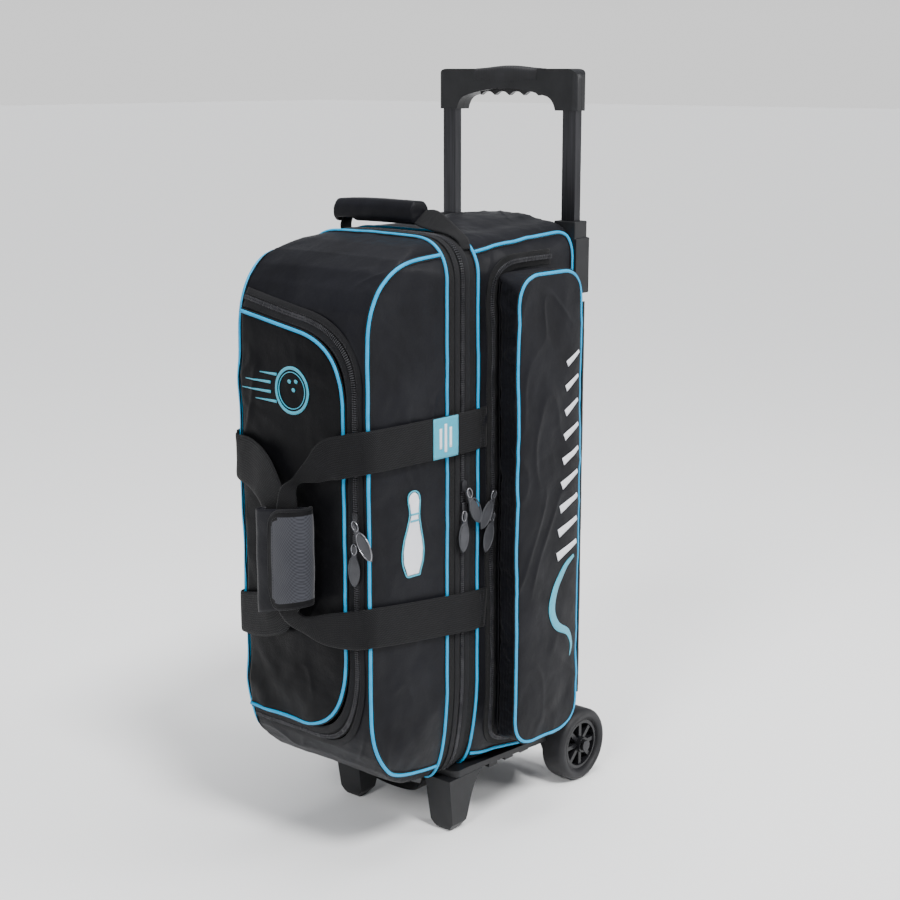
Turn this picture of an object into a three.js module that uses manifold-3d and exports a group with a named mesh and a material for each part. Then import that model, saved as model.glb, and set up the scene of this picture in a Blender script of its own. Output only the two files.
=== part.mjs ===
// Three-ball upright roller bag for bowling balls, in millimetres, +Z up, standing on its wheels
// and front feet. The front (the lid with the shoe compartment) faces -Y, the trolley is at +Y.
// Inside the bag group, y = 0 is the closing plane of the main zip and z = 0 is the floor.
import * as THREE from 'three';
import { mergeVertices } from 'three/addons/utils/BufferGeometryUtils.js';
import Module from 'manifold-3d';

const wasm = await Module();
wasm.setup();

// ---- driving dimensions ----
const BALL_RADIUS = 108;
const BALL_PITCH = 220; // between the centres of stacked balls, with the cradles' rims
const HALF_WIDTH = 118; // of the bag, without its side pockets
const BAG_BOTTOM = 88;
const BAG_TOP = 788;
const BODY_DEPTH = 226; // from the zip plane back to the rear panel
const LID_DEPTH = 163; // from the zip plane forward to the lid's front
const ZIP_BAND = 28; // width of zip tape on each side of the closing plane
const WALL = 5; // foam-backed fabric
const FIT = 0.3; // gap between pieces that touch

const POCKET_FACE = 166; // x of a side pocket's outer face
const POCKET = { front: 53, rear: 186, baseFront: 70, bottom: 121, top: 744, corner: 32 };
const DOOR = { left: -104, right: 75, top: 686, slope: 0.16, bottom: 182, corner: 78, zip: 23 };

const TUBE_X = 104; // trolley tubes, left and right of the middle
const TUBE_Y = 240;
const TUBE = { width: 22, depth: 13, wall: 1.2 };
const OUTER_TUBE = { width: 26, depth: 17, wall: 1.3, bottom: 132, top: 775 };
const INNER_TUBE = { bottom: 446, top: 965 }; // drawn with the handle fully pulled out
const GRIP = { half: 119, bottom: 942, top: 996, front: 227, rear: 253 };
const TRIGGER_TRAVEL = 5;

const WHEEL_RADIUS = 52;
const WHEEL_WIDTH = 39;
const WHEEL_X = 107.5;
const WHEEL_Y = 260;
const AXLE_RADIUS = 4;

const WEBBING = 52; // width of the carry straps
const STRAP_THICK = 2;
const UPPER_STRAP = 522; // lower edge of each pair of carry straps
const LOWER_STRAP = 284;
const LOOP_FRONT = -208; // front of the padded handle wrap

// the footprint runs from the handle wrap to the back of the wheels, and is centred on the origin
const FOOTPRINT_CENTRE = (LOOP_FRONT + WHEEL_Y + WHEEL_RADIUS) / 2;

// ---- materials ----
const finish = (color, roughness, metalness = 0) =>
  new THREE.MeshStandardMaterial({ color, roughness, metalness });
const FABRIC = finish('#17181c', 0.55);
const FABRIC_GREY = finish('#2c2d33', 0.65);
const LINING = finish('#232428', 0.8);
const WEB = finish('#1b1b1d', 0.85);
const ZIP = finish('#121214', 0.7);
const PLASTIC = finish('#121315', 0.45);
const BOARD = finish('#1d1e20', 0.6);
const FOAM = finish('#3a3b40', 0.9);
const TUBE_METAL = finish('#1a1b1d', 0.35, 0.8);
const STEEL = finish('#8b8d90', 0.35, 1);
const RUBBER = finish('#161617', 0.8);
const GUNMETAL = finish('#55565a', 0.35, 0.9);

const bag = new THREE.Group();
bag.position.y = -FOOTPRINT_CENTRE;

function add(name, shape, material, parent = bag) {
  const geometry = shape.isBufferGeometry ? shape : fromSolid(shape);
  const mesh = new THREE.Mesh(geometry, material);
  mesh.name = name;
  parent.add(mesh);
  return mesh;
}

// ---- closed solids for cutting and joining ----
function toSolid(geometry) {
  geometry.deleteAttribute('normal');
  geometry.deleteAttribute('uv');
  const merged = mergeVertices(geometry, 1e-4);
  const numbers = new Float32Array(merged.attributes.position.array);
  return new wasm.Manifold(
    new wasm.Mesh({ numProp: 3, vertProperties: numbers, triVerts: new Uint32Array(merged.index.array) }),
  );
}

function fromSolid(solid) {
  const mesh = solid.getMesh();
  const geometry = new THREE.BufferGeometry();
  geometry.setAttribute('position', new THREE.BufferAttribute(mesh.vertProperties, 3));
  geometry.setIndex(new THREE.BufferAttribute(mesh.triVerts, 1));
  return geometry;
}

function box(x0, x1, y0, y1, z0, z1) {
  const geometry = new THREE.BoxGeometry(x1 - x0, y1 - y0, z1 - z0);
  geometry.translate((x0 + x1) / 2, (y0 + y1) / 2, (z0 + z1) / 2);
  return toSolid(geometry);
}

const CURVE_STEPS = 6;

function extruded(shape, length, steps = CURVE_STEPS) {
  return new THREE.ExtrudeGeometry(shape, { depth: length, bevelEnabled: false, curveSegments: steps });
}

// a shape drawn in X and Z, run along Y
function prismY(shape, y0, y1, steps) {
  return toSolid(extruded(shape, y1 - y0, steps).rotateX(Math.PI / 2).translate(0, y1, 0));
}

// a shape drawn in Y and Z, run along X
function prismX(shape, x0, x1, steps) {
  const turn = new THREE.Matrix4().makeBasis(
    new THREE.Vector3(0, 1, 0),
    new THREE.Vector3(0, 0, 1),
    new THREE.Vector3(1, 0, 0),
  );
  return toSolid(extruded(shape, x1 - x0, steps).applyMatrix4(turn).translate(x0, 0, 0));
}

// a shape drawn in X and Y, run along Z
function prismZ(shape, z0, z1, steps) {
  return toSolid(extruded(shape, z1 - z0, steps).translate(0, 0, z0));
}

function polygon(points) {
  return new THREE.Shape(points.map(([u, v]) => new THREE.Vector2(u, v)));
}

function roundedRect(u0, u1, v0, v1, radius) {
  const shape = new THREE.Shape();
  shape.moveTo(u0 + radius, v0);
  shape.lineTo(u1 - radius, v0);
  shape.absarc(u1 - radius, v0 + radius, radius, -Math.PI / 2, 0);
  shape.lineTo(u1, v1 - radius);
  shape.absarc(u1 - radius, v1 - radius, radius, 0, Math.PI / 2);
  shape.lineTo(u0 + radius, v1);
  shape.absarc(u0 + radius, v1 - radius, radius, Math.PI / 2, Math.PI);
  shape.lineTo(u0, v0 + radius);
  shape.absarc(u0 + radius, v0 + radius, radius, Math.PI, 1.5 * Math.PI);
  return shape;
}

function rod(radius, from, to, axis, sides = 16) {
  const geometry = new THREE.CylinderGeometry(radius, radius, to - from, sides);
  geometry.translate(0, (from + to) / 2, 0);
  if (axis === 'x') geometry.rotateZ(-Math.PI / 2);
  if (axis === 'y') return toSolid(geometry);
  if (axis === 'z') geometry.rotateX(Math.PI / 2);
  return toSolid(geometry);
}

// a flat strap: an open run of (u, v) points thickened to both sides
function ribbonShape(points, thickness) {
  const curve = new THREE.CatmullRomCurve3(
    points.map(([u, v]) => new THREE.Vector3(u, v, 0)),
    false,
    'centripetal',
  );
  const count = points.length * 3;
  const left = [];
  const right = [];
  for (let i = 0; i <= count; i++) {
    const at = curve.getPoint(i / count);
    const along = curve.getTangent(i / count);
    const side = new THREE.Vector3(-along.y, along.x, 0).multiplyScalar(thickness / 2);
    left.push([at.x + side.x, at.y + side.y]);
    right.unshift([at.x - side.x, at.y - side.y]);
  }
  return polygon([...left, ...right]);
}

// ---- outlines ----
// front view of body and lid: soft upper corners and long tapered lower ones
function bagOutline(inset = 0) {
  const half = HALF_WIDTH - inset;
  const low = BAG_BOTTOM + inset;
  const high = BAG_TOP - inset;
  const shape = new THREE.Shape();
  shape.moveTo(-half + 38, low);
  shape.lineTo(half - 38, low);
  shape.quadraticCurveTo(half - 6, low, half, low + 125);
  shape.lineTo(half, high - 45);
  shape.quadraticCurveTo(half - 2, high, half - 52, high);
  shape.lineTo(-half + 52, high);
  shape.quadraticCurveTo(-half + 2, high, -half, high - 45);
  shape.lineTo(-half, low + 125);
  shape.quadraticCurveTo(-half + 6, low, -half + 38, low);
  return shape;
}

// side view of the lid: its front rolls into the top and the bottom
function lidProfile(inset = 0) {
  const front = -LID_DEPTH + inset;
  const low = BAG_BOTTOM + inset;
  const high = BAG_TOP - inset;
  const shape = new THREE.Shape();
  shape.moveTo(0, low);
  shape.lineTo(0, high);
  shape.lineTo(front + 135, high);
  shape.quadraticCurveTo(front + 3, high - 10, front, high - 102);
  shape.lineTo(front, low + 125);
  shape.quadraticCurveTo(front + 5, low + 18, front + 95, low + 6);
  shape.lineTo(front + 135, low);
  shape.lineTo(0, low);
  return shape;
}

// plan view of the lid: it narrows towards its front
function lidPlan(inset = 0) {
  const wide = HALF_WIDTH - inset;
  const narrow = HALF_WIDTH - 8 - inset;
  const front = -LID_DEPTH + inset;
  const left = [[-wide, 5], [-wide, -ZIP_BAND], [-narrow, front]];
  return polygon([...left, [narrow, front], [wide, -ZIP_BAND], [wide, 5]]);
}

// the shoe compartment's door: level hinge edge on the left, swept corners on the right
function doorOutline(grow, left) {
  const right = DOOR.right + grow;
  const top = DOOR.top + grow;
  const low = DOOR.bottom - grow;
  const shape = new THREE.Shape();
  shape.moveTo(left, low);
  shape.lineTo(right - DOOR.corner, low);
  shape.quadraticCurveTo(right - 4, low + 4, right, low + DOOR.corner + 25);
  shape.lineTo(right, top - DOOR.corner - 5);
  shape.quadraticCurveTo(right - 4, top - 10, right - grow - DOOR.corner, top);
  shape.lineTo(left, top + DOOR.slope * (right - grow - DOOR.corner - left));
  return shape;
}

// ---- body ----
// the body's outline at a share of the way back: it grows squarer and taller, and its top crowns
function bodySection(share, inset) {
  const mix = THREE.MathUtils.lerp;
  const half = HALF_WIDTH - inset;
  const low = mix(BAG_BOTTOM, BAG_BOTTOM - 9, share) + inset;
  const high = mix(BAG_TOP, BAG_TOP + 10, share) - inset;
  const crown = 24 * Math.sin(Math.PI * Math.min(1, share * 0.8 + 0.02));
  const lowRun = mix(38, 20, Math.sqrt(share));
  const lowRise = mix(125, 34, Math.sqrt(share));
  const shape = new THREE.Shape();
  shape.moveTo(-half + lowRun, low);
  shape.lineTo(half - lowRun, low);
  shape.quadraticCurveTo(half - 5, low, half, low + lowRise);
  shape.lineTo(half, high - 42);
  shape.quadraticCurveTo(half - 2, high, half - 50, high);
  shape.quadraticCurveTo(0, high + crown, -half + 50, high);
  shape.quadraticCurveTo(-half + 2, high, -half, high - 42);
  shape.lineTo(-half, low + lowRise);
  shape.quadraticCurveTo(-half + 5, low, -half + lowRun, low);
  return shape.getPoints(CURVE_STEPS).slice(0, -1);
}

// a closed solid through rings of (x, z) points, all of one count, each at its own y
function loft(rings) {
  const count = rings[0].points.length;
  const positions = [];
  const index = [];
  for (const ring of rings) {
    for (const point of ring.points) positions.push(point.x, ring.y, point.y);
  }
  for (let r = 0; r + 1 < rings.length; r++) {
    for (let i = 0; i < count; i++) {
      const a = r * count + i;
      const b = r * count + ((i + 1) % count);
      index.push(a, b + count, b, a, a + count, b + count);
    }
  }
  const last = (rings.length - 1) * count;
  for (const [a, b, c] of THREE.ShapeUtils.triangulateShape(rings[0].points, [])) {
    index.push(a, b, c);
  }
  for (const [a, b, c] of THREE.ShapeUtils.triangulateShape(rings[rings.length - 1].points, [])) {
    index.push(last + a, last + c, last + b);
  }
  const geometry = new THREE.BufferGeometry();
  geometry.setAttribute('position', new THREE.Float32BufferAttribute(positions, 3));
  geometry.setIndex(index);
  return geometry;
}

function bodyLoft(inset, y0, y1) {
  const rings = [0, 0.12, 0.3, 0.6, 1].map((share) => ({
    y: THREE.MathUtils.lerp(y0, y1, share),
    points: bodySection(share, inset),
  }));
  let solid = toSolid(loft(rings));
  // the lower rear corners are cut round for the wheels
  const well = rod(WHEEL_RADIUS + 4 + inset, -24 - inset, 40, 'x', 48);
  for (const side of [-1, 1]) {
    const turned = side < 0 ? well.rotate([0, 0, 180]) : well;
    solid = solid.subtract(turned.translate([side * WHEEL_X, WHEEL_Y, WHEEL_RADIUS]));
  }
  return solid;
}

function bodyShell() {
  const inside = bodyLoft(WALL, ZIP_BAND - 1, BODY_DEPTH - WALL);
  return bodyLoft(0, ZIP_BAND + FIT, BODY_DEPTH).subtract(inside);
}

function zipRing(y0, y1) {
  const ring = prismY(bagOutline(0.5), y0, y1);
  return ring.subtract(prismY(bagOutline(4.5), y0 - 1, y1 + 1));
}

const BOARD_FRONT = BODY_DEPTH - WALL - 4;

function backBoard() {
  return prismY(bagOutline(WALL + 6), BOARD_FRONT, BODY_DEPTH - WALL - FIT);
}

// a moulded foam cradle with the dish that one ball rests in
function ballCup(level) {
  const front = BOARD_FRONT - 37;
  const back = BOARD_FRONT - FIT;
  const block = prismY(roundedRect(-94, 94, level - 106, level + 106, 20), front, back, 3);
  const dish = new THREE.SphereGeometry(BALL_RADIUS + 2, 24, 14);
  dish.rotateX(Math.PI / 2).translate(0, back - 3 - BALL_RADIUS - 2, level);
  return block.subtract(toSolid(dish));
}

// the tray under the bag, level over the feet and sloping down behind them, with low ribs
const TRAY = { half: 106, front: 2, rear: 204, bottom: 78, rearBottom: 71 };
const FOOT_X = 84;
const HANDLE_SLOT = { inner: 49, outer: 61, rear: 24 }; // where the bottom handle's ends pass

function baseTray() {
  const t = TRAY;
  const top = BAG_BOTTOM - FIT;
  const under = [[t.front, t.bottom], [70, t.bottom], [t.rear, t.rearBottom]];
  const over = [[t.rear, top - 9], [30, top], [t.front, top]];
  const plan = prismZ(roundedRect(-t.half, t.half, t.front, t.rear, 10), 60, 100, 3);
  let tray = prismX(polygon([...under, ...over]), -t.half, t.half).intersect(plan);
  for (const side of [-1, 1]) {
    for (let y = 82; y < 190; y += 34) {
      tray = tray.add(box(side * 88 - 10, side * 88 + 10, y, y + 18, 67, 78.3));
    }
    const x = side * (HANDLE_SLOT.inner + HANDLE_SLOT.outer) / 2;
    const half = (HANDLE_SLOT.outer - HANDLE_SLOT.inner) / 2;
    tray = tray.subtract(box(x - half, x + half, t.front - 1, HANDLE_SLOT.rear, 60, 100));
  }
  return tray;
}

// a foot: sloped at the front, curved at the back, and drawn in towards its tip
function foot(side) {
  const top = TRAY.bottom - FIT;
  const profile = new THREE.Shape();
  profile.moveTo(-10, top);
  profile.lineTo(0, 10);
  profile.quadraticCurveTo(1, 0, 8, 0);
  profile.lineTo(18, 0);
  profile.quadraticCurveTo(26, 2, 31, 20);
  profile.quadraticCurveTo(40, 66, 58, top);
  const front = polygon([[-22, top + 1], [-20, 12], [-9, -1], [9, -1], [19, 12], [22, top + 1]]);
  const blank = prismX(profile, side * FOOT_X - 23, side * FOOT_X + 23);
  return blank.intersect(prismY(front, -30, 80).translate([side * FOOT_X, 0, 0]));
}

// one moulding across the back that carries the axle on two arms and guards the lower edge
function axleCarrier() {
  const rear = BODY_DEPTH + FIT;
  let carrier = box(-84, 84, rear, rear + 24, 60, 128);
  for (const side of [-1, 1]) {
    const arm = new THREE.Shape();
    arm.moveTo(rear, 60);
    arm.lineTo(rear, 112);
    arm.lineTo(WHEEL_Y, 84);
    arm.absarc(WHEEL_Y, WHEEL_RADIUS, 20, Math.PI / 2, -Math.PI / 2, true);
    arm.lineTo(rear + 12, 34);
    carrier = carrier.add(prismX(arm, side * 77 - 7, side * 77 + 7));
  }
  carrier = carrier.add(box(-72, 72, 190, rear + 2, 58, TRAY.rearBottom - FIT));
  const bore = rod(AXLE_RADIUS + 0.4, -90, 90, 'x').translate([0, WHEEL_Y, WHEEL_RADIUS]);
  return carrier.subtract(bore);
}

// the axle has a pressed-on cap at each end that keeps the wheel on
function axle() {
  const end = WHEEL_X + WHEEL_WIDTH / 2 + 1.5;
  let solid = rod(AXLE_RADIUS, -end, end, 'x');
  for (const side of [-1, 1]) {
    const from = Math.min(side * (end - 1), side * (end + 3));
    solid = solid.add(rod(8, from, from + 4, 'x'));
  }
  return solid.translate([0, WHEEL_Y, WHEEL_RADIUS]);
}

// ---- wheels, each turned about its own x axis ----
const HUB_RADIUS = 36;

function tyre() {
  const half = WHEEL_WIDTH / 2;
  const round = 8;
  const profile = [new THREE.Vector2(HUB_RADIUS + FIT, -half + 3)];
  profile.push(new THREE.Vector2(WHEEL_RADIUS - round, -half));
  for (const corner of [-1, 1]) {
    for (let i = 0; i <= 4; i++) {
      const a = ((corner < 0 ? -1 : 0) + i / 4) * (Math.PI / 2);
      const y = corner * (half - round) + Math.sin(a) * round;
      profile.push(new THREE.Vector2(WHEEL_RADIUS - round + Math.cos(a) * round, y));
    }
  }
  profile.push(new THREE.Vector2(WHEEL_RADIUS - round, half));
  profile.push(new THREE.Vector2(HUB_RADIUS + FIT, half - 3));
  profile.push(profile[0].clone());
  return toSolid(new THREE.LatheGeometry(profile, 48).rotateZ(-Math.PI / 2));
}

function hub() {
  const half = WHEEL_WIDTH / 2 - 5;
  const rim = rod(HUB_RADIUS, -half, half, 'x', 40);
  let solid = rim.subtract(rod(HUB_RADIUS - 5, -half - 1, half + 1, 'x', 40));
  solid = solid.add(rod(11, -WHEEL_WIDTH / 2 - 0.5, WHEEL_WIDTH / 2 - 0.5, 'x', 24));
  for (let i = 0; i < 8; i++) {
    const spoke = box(-half + 2, half - 2, -3, 3, 9, HUB_RADIUS - 3);
    solid = solid.add(spoke.rotate([i * 45, 0, 0]));
  }
  solid = solid.add(rod(HUB_RADIUS - 3, -2, 2, 'x', 40));
  return solid.subtract(rod(AXLE_RADIUS + 0.4, -30, 30, 'x'));
}

// ---- trolley ----
function tubeSection({ width, depth, wall }, z0, z1) {
  const outer = box(-width / 2, width / 2, -depth / 2, depth / 2, z0, z1);
  const w = width / 2 - wall;
  const d = depth / 2 - wall;
  return outer.subtract(box(-w, w, -d, d, z0 - 1, z1 + 1));
}

// the guard clamps the outer tube at the bag's upper corner, and its neck guides the inner tube
function collar() {
  const front = BODY_DEPTH + FIT - TUBE_Y;
  let solid = box(-20, 20, front, 16, 702, 776).add(box(-17.5, 17.5, front, 13.5, 775, 798));
  const width = OUTER_TUBE.width / 2 + FIT;
  const depth = OUTER_TUBE.depth / 2 + FIT;
  solid = solid.subtract(box(-width, width, -depth, depth, 700, OUTER_TUBE.top + FIT));
  return solid.subtract(box(-11.8, 11.8, -7.3, 7.3, 700, 800));
}

// slide rail behind an outer tube, with the raised blocks the bag is dragged over stairs on
function skidRail() {
  let rail = box(-17, 17, 8.9, 12, 134, 690);
  const pitch = 114;
  for (let i = 0; i < 5; i++) {
    const low = 134 + i * pitch;
    const root = [[11, low], [11, low + 72], [13, low + 70]];
    const crest = [[16.5, low + 62], [16.5, low + 8], [13, low + 2]];
    rail = rail.add(prismX(polygon([...root, ...crest]), -14, 14));
  }
  return rail;
}

function gripOutline(top) {
  const g = GRIP;
  const shape = new THREE.Shape();
  shape.moveTo(-g.half, g.bottom);
  shape.lineTo(-g.half + 34, g.bottom);
  shape.quadraticCurveTo(-g.half + 38, g.bottom + 17, -g.half + 52, g.bottom + 19);
  shape.quadraticCurveTo(0, g.bottom + 38, g.half - 52, g.bottom + 19);
  shape.quadraticCurveTo(g.half - 38, g.bottom + 17, g.half - 34, g.bottom);
  shape.lineTo(g.half, g.bottom);
  shape.lineTo(g.half, g.top - 14);
  shape.quadraticCurveTo(g.half, g.top, g.half - 16, g.top);
  shape.lineTo(54, g.top);
  shape.lineTo(54, top);
  shape.lineTo(-54, top);
  shape.lineTo(-54, g.top);
  shape.lineTo(-g.half + 16, g.top);
  shape.quadraticCurveTo(-g.half, g.top, -g.half, g.top - 14);
  return shape;
}

const TRIGGER = { low: 961, bar: 974, high: 980, half: 50, thick: 7 };

// half of the grip's casing, with its share of the room for the tubes and the release bar
function gripShell(y0, y1) {
  const mid = TUBE_Y;
  const lift = TRIGGER_TRAVEL + 1;
  let shell = prismY(gripOutline(990), y0, y1);
  const plan = roundedRect(-GRIP.half, GRIP.half, GRIP.front, GRIP.rear, 8);
  shell = shell.intersect(prismZ(plan, GRIP.bottom - 1, GRIP.top + 1, 4));
  const reach = TRIGGER.thick / 2 + 0.6;
  shell = shell.subtract(box(-111, 111, mid - reach, mid + reach, TRIGGER.bar - 1, TRIGGER.high + lift));
  const slot = TRIGGER.half + 1;
  shell = shell.subtract(box(-slot, slot, mid - reach, mid + reach, 930, TRIGGER.high + lift));
  for (const side of [-1, 1]) {
    const x = side * TUBE_X;
    const w = TUBE.width / 2 + FIT;
    const d = TUBE.depth / 2 + FIT;
    shell = shell.subtract(box(x - w, x + w, mid - d, mid + d, 900, 966));
    shell = shell.subtract(box(x - 4, x + 4, mid - reach, mid + reach, 960, TRIGGER.high));
  }
  return shell;
}

function overmould() {
  const shape = new THREE.Shape();
  shape.moveTo(-53, 990.4);
  shape.lineTo(53, 990.4);
  shape.lineTo(53, 997);
  shape.quadraticCurveTo(0, 1007, -53, 997);
  return prismY(shape, GRIP.front, GRIP.rear);
}

const PUSH_ROD_BOTTOM = 452;

// the scalloped bar that the fingers pull, with the push rods that run down inside both tubes
function releaseTrigger() {
  const t = TRIGGER;
  const shape = new THREE.Shape();
  shape.moveTo(-t.half, t.high);
  shape.lineTo(-t.half, t.low);
  const scallops = 4;
  const step = (2 * t.half) / scallops;
  for (let i = 0; i < scallops; i++) {
    const x = -t.half + i * step;
    shape.quadraticCurveTo(x + step / 2, t.low + 11, x + step, t.low);
  }
  shape.lineTo(t.half, t.high);
  const y0 = TUBE_Y - t.thick / 2;
  const y1 = TUBE_Y + t.thick / 2;
  let solid = prismY(shape, y0, y1, 4).add(box(-TUBE_X - 4, TUBE_X + 4, y0, y1, t.bar, t.high));
  for (const side of [-1, 1]) {
    solid = solid.add(rod(2.5, PUSH_ROD_BOTTOM, t.bar + 1, 'z', 8).translate([side * TUBE_X, TUBE_Y, 0]));
  }
  return solid;
}

// the plastic foot of an inner tube, which holds the lock and rides in the outer tube
function lockBlock() {
  const top = INNER_TUBE.bottom - FIT;
  return box(-11, 11, -6.4, 6.4, top - 28, top).subtract(rod(3, top - 16, top + 4, 'z', 8));
}

// ---- lid ----
function lidSolid(inset, rear) {
  const block = prismY(bagOutline(inset), -LID_DEPTH - 1, rear);
  const rolled = block.intersect(prismX(lidProfile(inset), -130, 130));
  return rolled.intersect(prismZ(lidPlan(inset), 0, 900));
}

// the door's zip band runs round the door, and both lie in this cut of the lid's front
function doorCut(grow, left) {
  return prismY(doorOutline(grow, left), -LID_DEPTH - 2, -LID_DEPTH + 25);
}

function lidShell() {
  const back = -ZIP_BAND - FIT;
  const shell = lidSolid(0, back).subtract(lidSolid(WALL - 1, back + 1));
  return shell.subtract(doorCut(DOOR.zip, DOOR.left - 1.2));
}

function lidPartition() {
  return prismY(bagOutline(6), -13, -9);
}

function doorZip() {
  const band = lidSolid(0.5, -100).subtract(lidSolid(3, -90));
  return band.intersect(doorCut(DOOR.zip - FIT, DOOR.left - 0.8)).subtract(doorCut(0.6, DOOR.left - 9));
}

const DOOR_FRONT = -LID_DEPTH - 4;

function shoeDoor() {
  return prismY(doorOutline(-0.4, DOOR.left + 0.5), DOOR_FRONT, -LID_DEPTH + 3.5);
}

// ---- carry straps ----
// the plan of a strap on the right side: sewn down behind the zip, round the lid's corner,
// and out to the handle in front; side -1 gives its mirror image
const STRAP_X = HALF_WIDTH + 7; // far enough out for the zip sliders to pass underneath

function mirrored(points, side) {
  return points.map(([x, y]) => [side * x, y]);
}

function strap(points, side, low) {
  return prismZ(ribbonShape(mirrored(points, side), STRAP_THICK), low, low + WEBBING);
}

const SEWN_X = HALF_WIDTH + 1.6;
const CORNER_X = HALF_WIDTH - 3.5;
const SIDE_RUN = [[SEWN_X, 44], [SEWN_X, 36], [STRAP_X, 16], [STRAP_X, -16], [118, -90], [CORNER_X, -158]];

function frontRun(gripX, gripY) {
  return [[CORNER_X, -163], [106, -173], [84, -181], [gripX + 10, gripY + 4], [gripX, gripY]];
}

// the two straps of a loop meet in the folded webbing that the hand holds
function loopWithGrip(side, points, gripX, gripY) {
  const top = UPPER_STRAP + WEBBING - 4;
  let loop = box(gripX - 14, gripX + 14, gripY - 1.5, gripY + 1.5, LOWER_STRAP + 4, top);
  for (const low of [LOWER_STRAP, UPPER_STRAP]) {
    loop = loop.add(strap([...points, [Math.abs(gripX) - 12, gripY]], side, low));
  }
  return loop;
}

function rightLoop() {
  const route = [...SIDE_RUN.slice(0, -1), ...frontRun(40, -196)];
  return loopWithGrip(1, route, 12, -196);
}

function leftLoop() {
  return loopWithGrip(-1, frontRun(40, -200.6), -12, -200.6);
}

// the padded wrap that closes round both loops, with its opening at the left
function handleWrap() {
  const shape = roundedRect(-40, 40, LOOP_FRONT, LOOP_FRONT + 20, 8);
  const inside = roundedRect(-50, 35.5, LOOP_FRONT + 4, LOOP_FRONT + 16, 4);
  const low = 342;
  const tall = 124;
  const tube = prismZ(shape, low, low + tall, 3);
  return tube.subtract(prismZ(inside, low - 1, low + tall + 1, 3));
}

// ---- pockets and grab handles ----
function pocketCover(side) {
  const p = POCKET;
  const near = HALF_WIDTH + FIT;
  const plan = (gap) =>
    polygon([
      [side * (near - gap * 2), p.baseFront + gap],
      [side * (POCKET_FACE - gap), p.front + gap],
      [side * (POCKET_FACE - gap), p.rear - 3 - gap],
      [side * (near - gap * 2), p.rear - gap],
    ]);
  const cup = (gap) => {
    const rect = roundedRect(p.front + gap, p.rear - gap, p.bottom + gap, p.top - gap, p.corner - gap);
    const x0 = Math.min(side * 100, side * 180);
    return prismX(rect, x0, x0 + 80, 5).intersect(prismZ(plan(gap), 60, 800));
  };
  return cup(0).subtract(cup(4));
}

const GRAB = { y: 20, width: 25, level: 814, padLeft: -106, padRight: 20 };

function grabWebbing() {
  const top = GRAB.level;
  const left = [[-94, 786.5], [-95, 799], [-91, 809], [-80, top], [-70, top]];
  const right = [[30, top], [48, top - 1], [76, top - 9], [94, top - 19], [106, 779.5]];
  const half = GRAB.width / 2;
  return prismY(ribbonShape([...left, ...right], STRAP_THICK), GRAB.y - half, GRAB.y + half);
}

// the padded sleeve, slit underneath at its left end where the webbing comes in
function grabPad() {
  const top = GRAB.level;
  const half = GRAB.width / 2 + FIT;
  const section = roundedRect(GRAB.y - 16, GRAB.y + 16, top - 13, top + 13, 9);
  const pad = prismX(section, GRAB.padLeft, GRAB.padRight, 4);
  const tunnel = box(-100, 60, GRAB.y - half, GRAB.y + half, top - 1.7, top + 1.7);
  const slit = box(-100, -72, GRAB.y - half, GRAB.y + half, top - 20, top + 1.7);
  return pad.subtract(tunnel).subtract(slit);
}

function bottomHandle() {
  const half = [[0, 42], [39, 46], [49, 56], [54, 74], [55, 84]];
  const other = half.slice(1).map(([x, z]) => [-x, z]);
  return prismY(ribbonShape([...other.reverse(), ...half], STRAP_THICK), -6, 20);
}

// ---- zip sliders and their pulls ----
// drawn for a zip that faces +X with its slider at the origin; the pull hangs from its ring
function slider() {
  return prismX(roundedRect(-4.5, 4.5, -8, 8, 3), 0, 4.5, 2);
}

const SLIDER_PITCH = 28; // from the upper slider down to the lower one
const PULL_DROP = 6; // from the slider's middle down to the ring's pivot
const PULL_LAYER = 2.6; // the upper pull lies over the lower slider and pull

function pull() {
  const leaf = new THREE.Shape();
  leaf.moveTo(-3, 0);
  leaf.quadraticCurveTo(-2, -14, -8, -24);
  leaf.quadraticCurveTo(-10, -44, 0, -52);
  leaf.quadraticCurveTo(10, -44, 8, -24);
  leaf.quadraticCurveTo(2, -14, 3, 0);
  return prismX(leaf, 0, 2.2, 3);
}

// a pair of sliders on one zip, at x and y on the tape's outer face; turn brings +X to the outward
// side, and each pull hangs a little to one side by its tilt
function addZip(name, x, y, turn, level, tilts) {
  ['upper', 'lower'].forEach((which, index) => {
    const group = new THREE.Group();
    group.position.set(x, y, level - index * SLIDER_PITCH);
    group.rotation.z = turn;
    bag.add(group);
    add(`${name}_slider_${which}`, slider(), ZIP, group);
    const hung = add(`${name}_pull_${which}`, pull(), GUNMETAL, group);
    hung.position.set(5 + PULL_LAYER * (1 - index), 0, -PULL_DROP);
    hung.rotation.x = tilts[index];
  });
}

// ---- assembly ----
add('body_shell', bodyShell(), FABRIC);
add('body_zip_tape', zipRing(0.4, ZIP_BAND), ZIP);
add('back_board', backBoard(), BOARD);
['lower', 'middle', 'upper'].forEach((name, i) => {
  add(`ball_cup_${name}`, ballCup((BAG_TOP + BAG_BOTTOM) / 2 + (i - 1) * BALL_PITCH), FOAM);
});
add('base_tray', baseTray(), PLASTIC);
add('axle_carrier', axleCarrier(), PLASTIC);
add('axle', axle(), STEEL);

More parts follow.
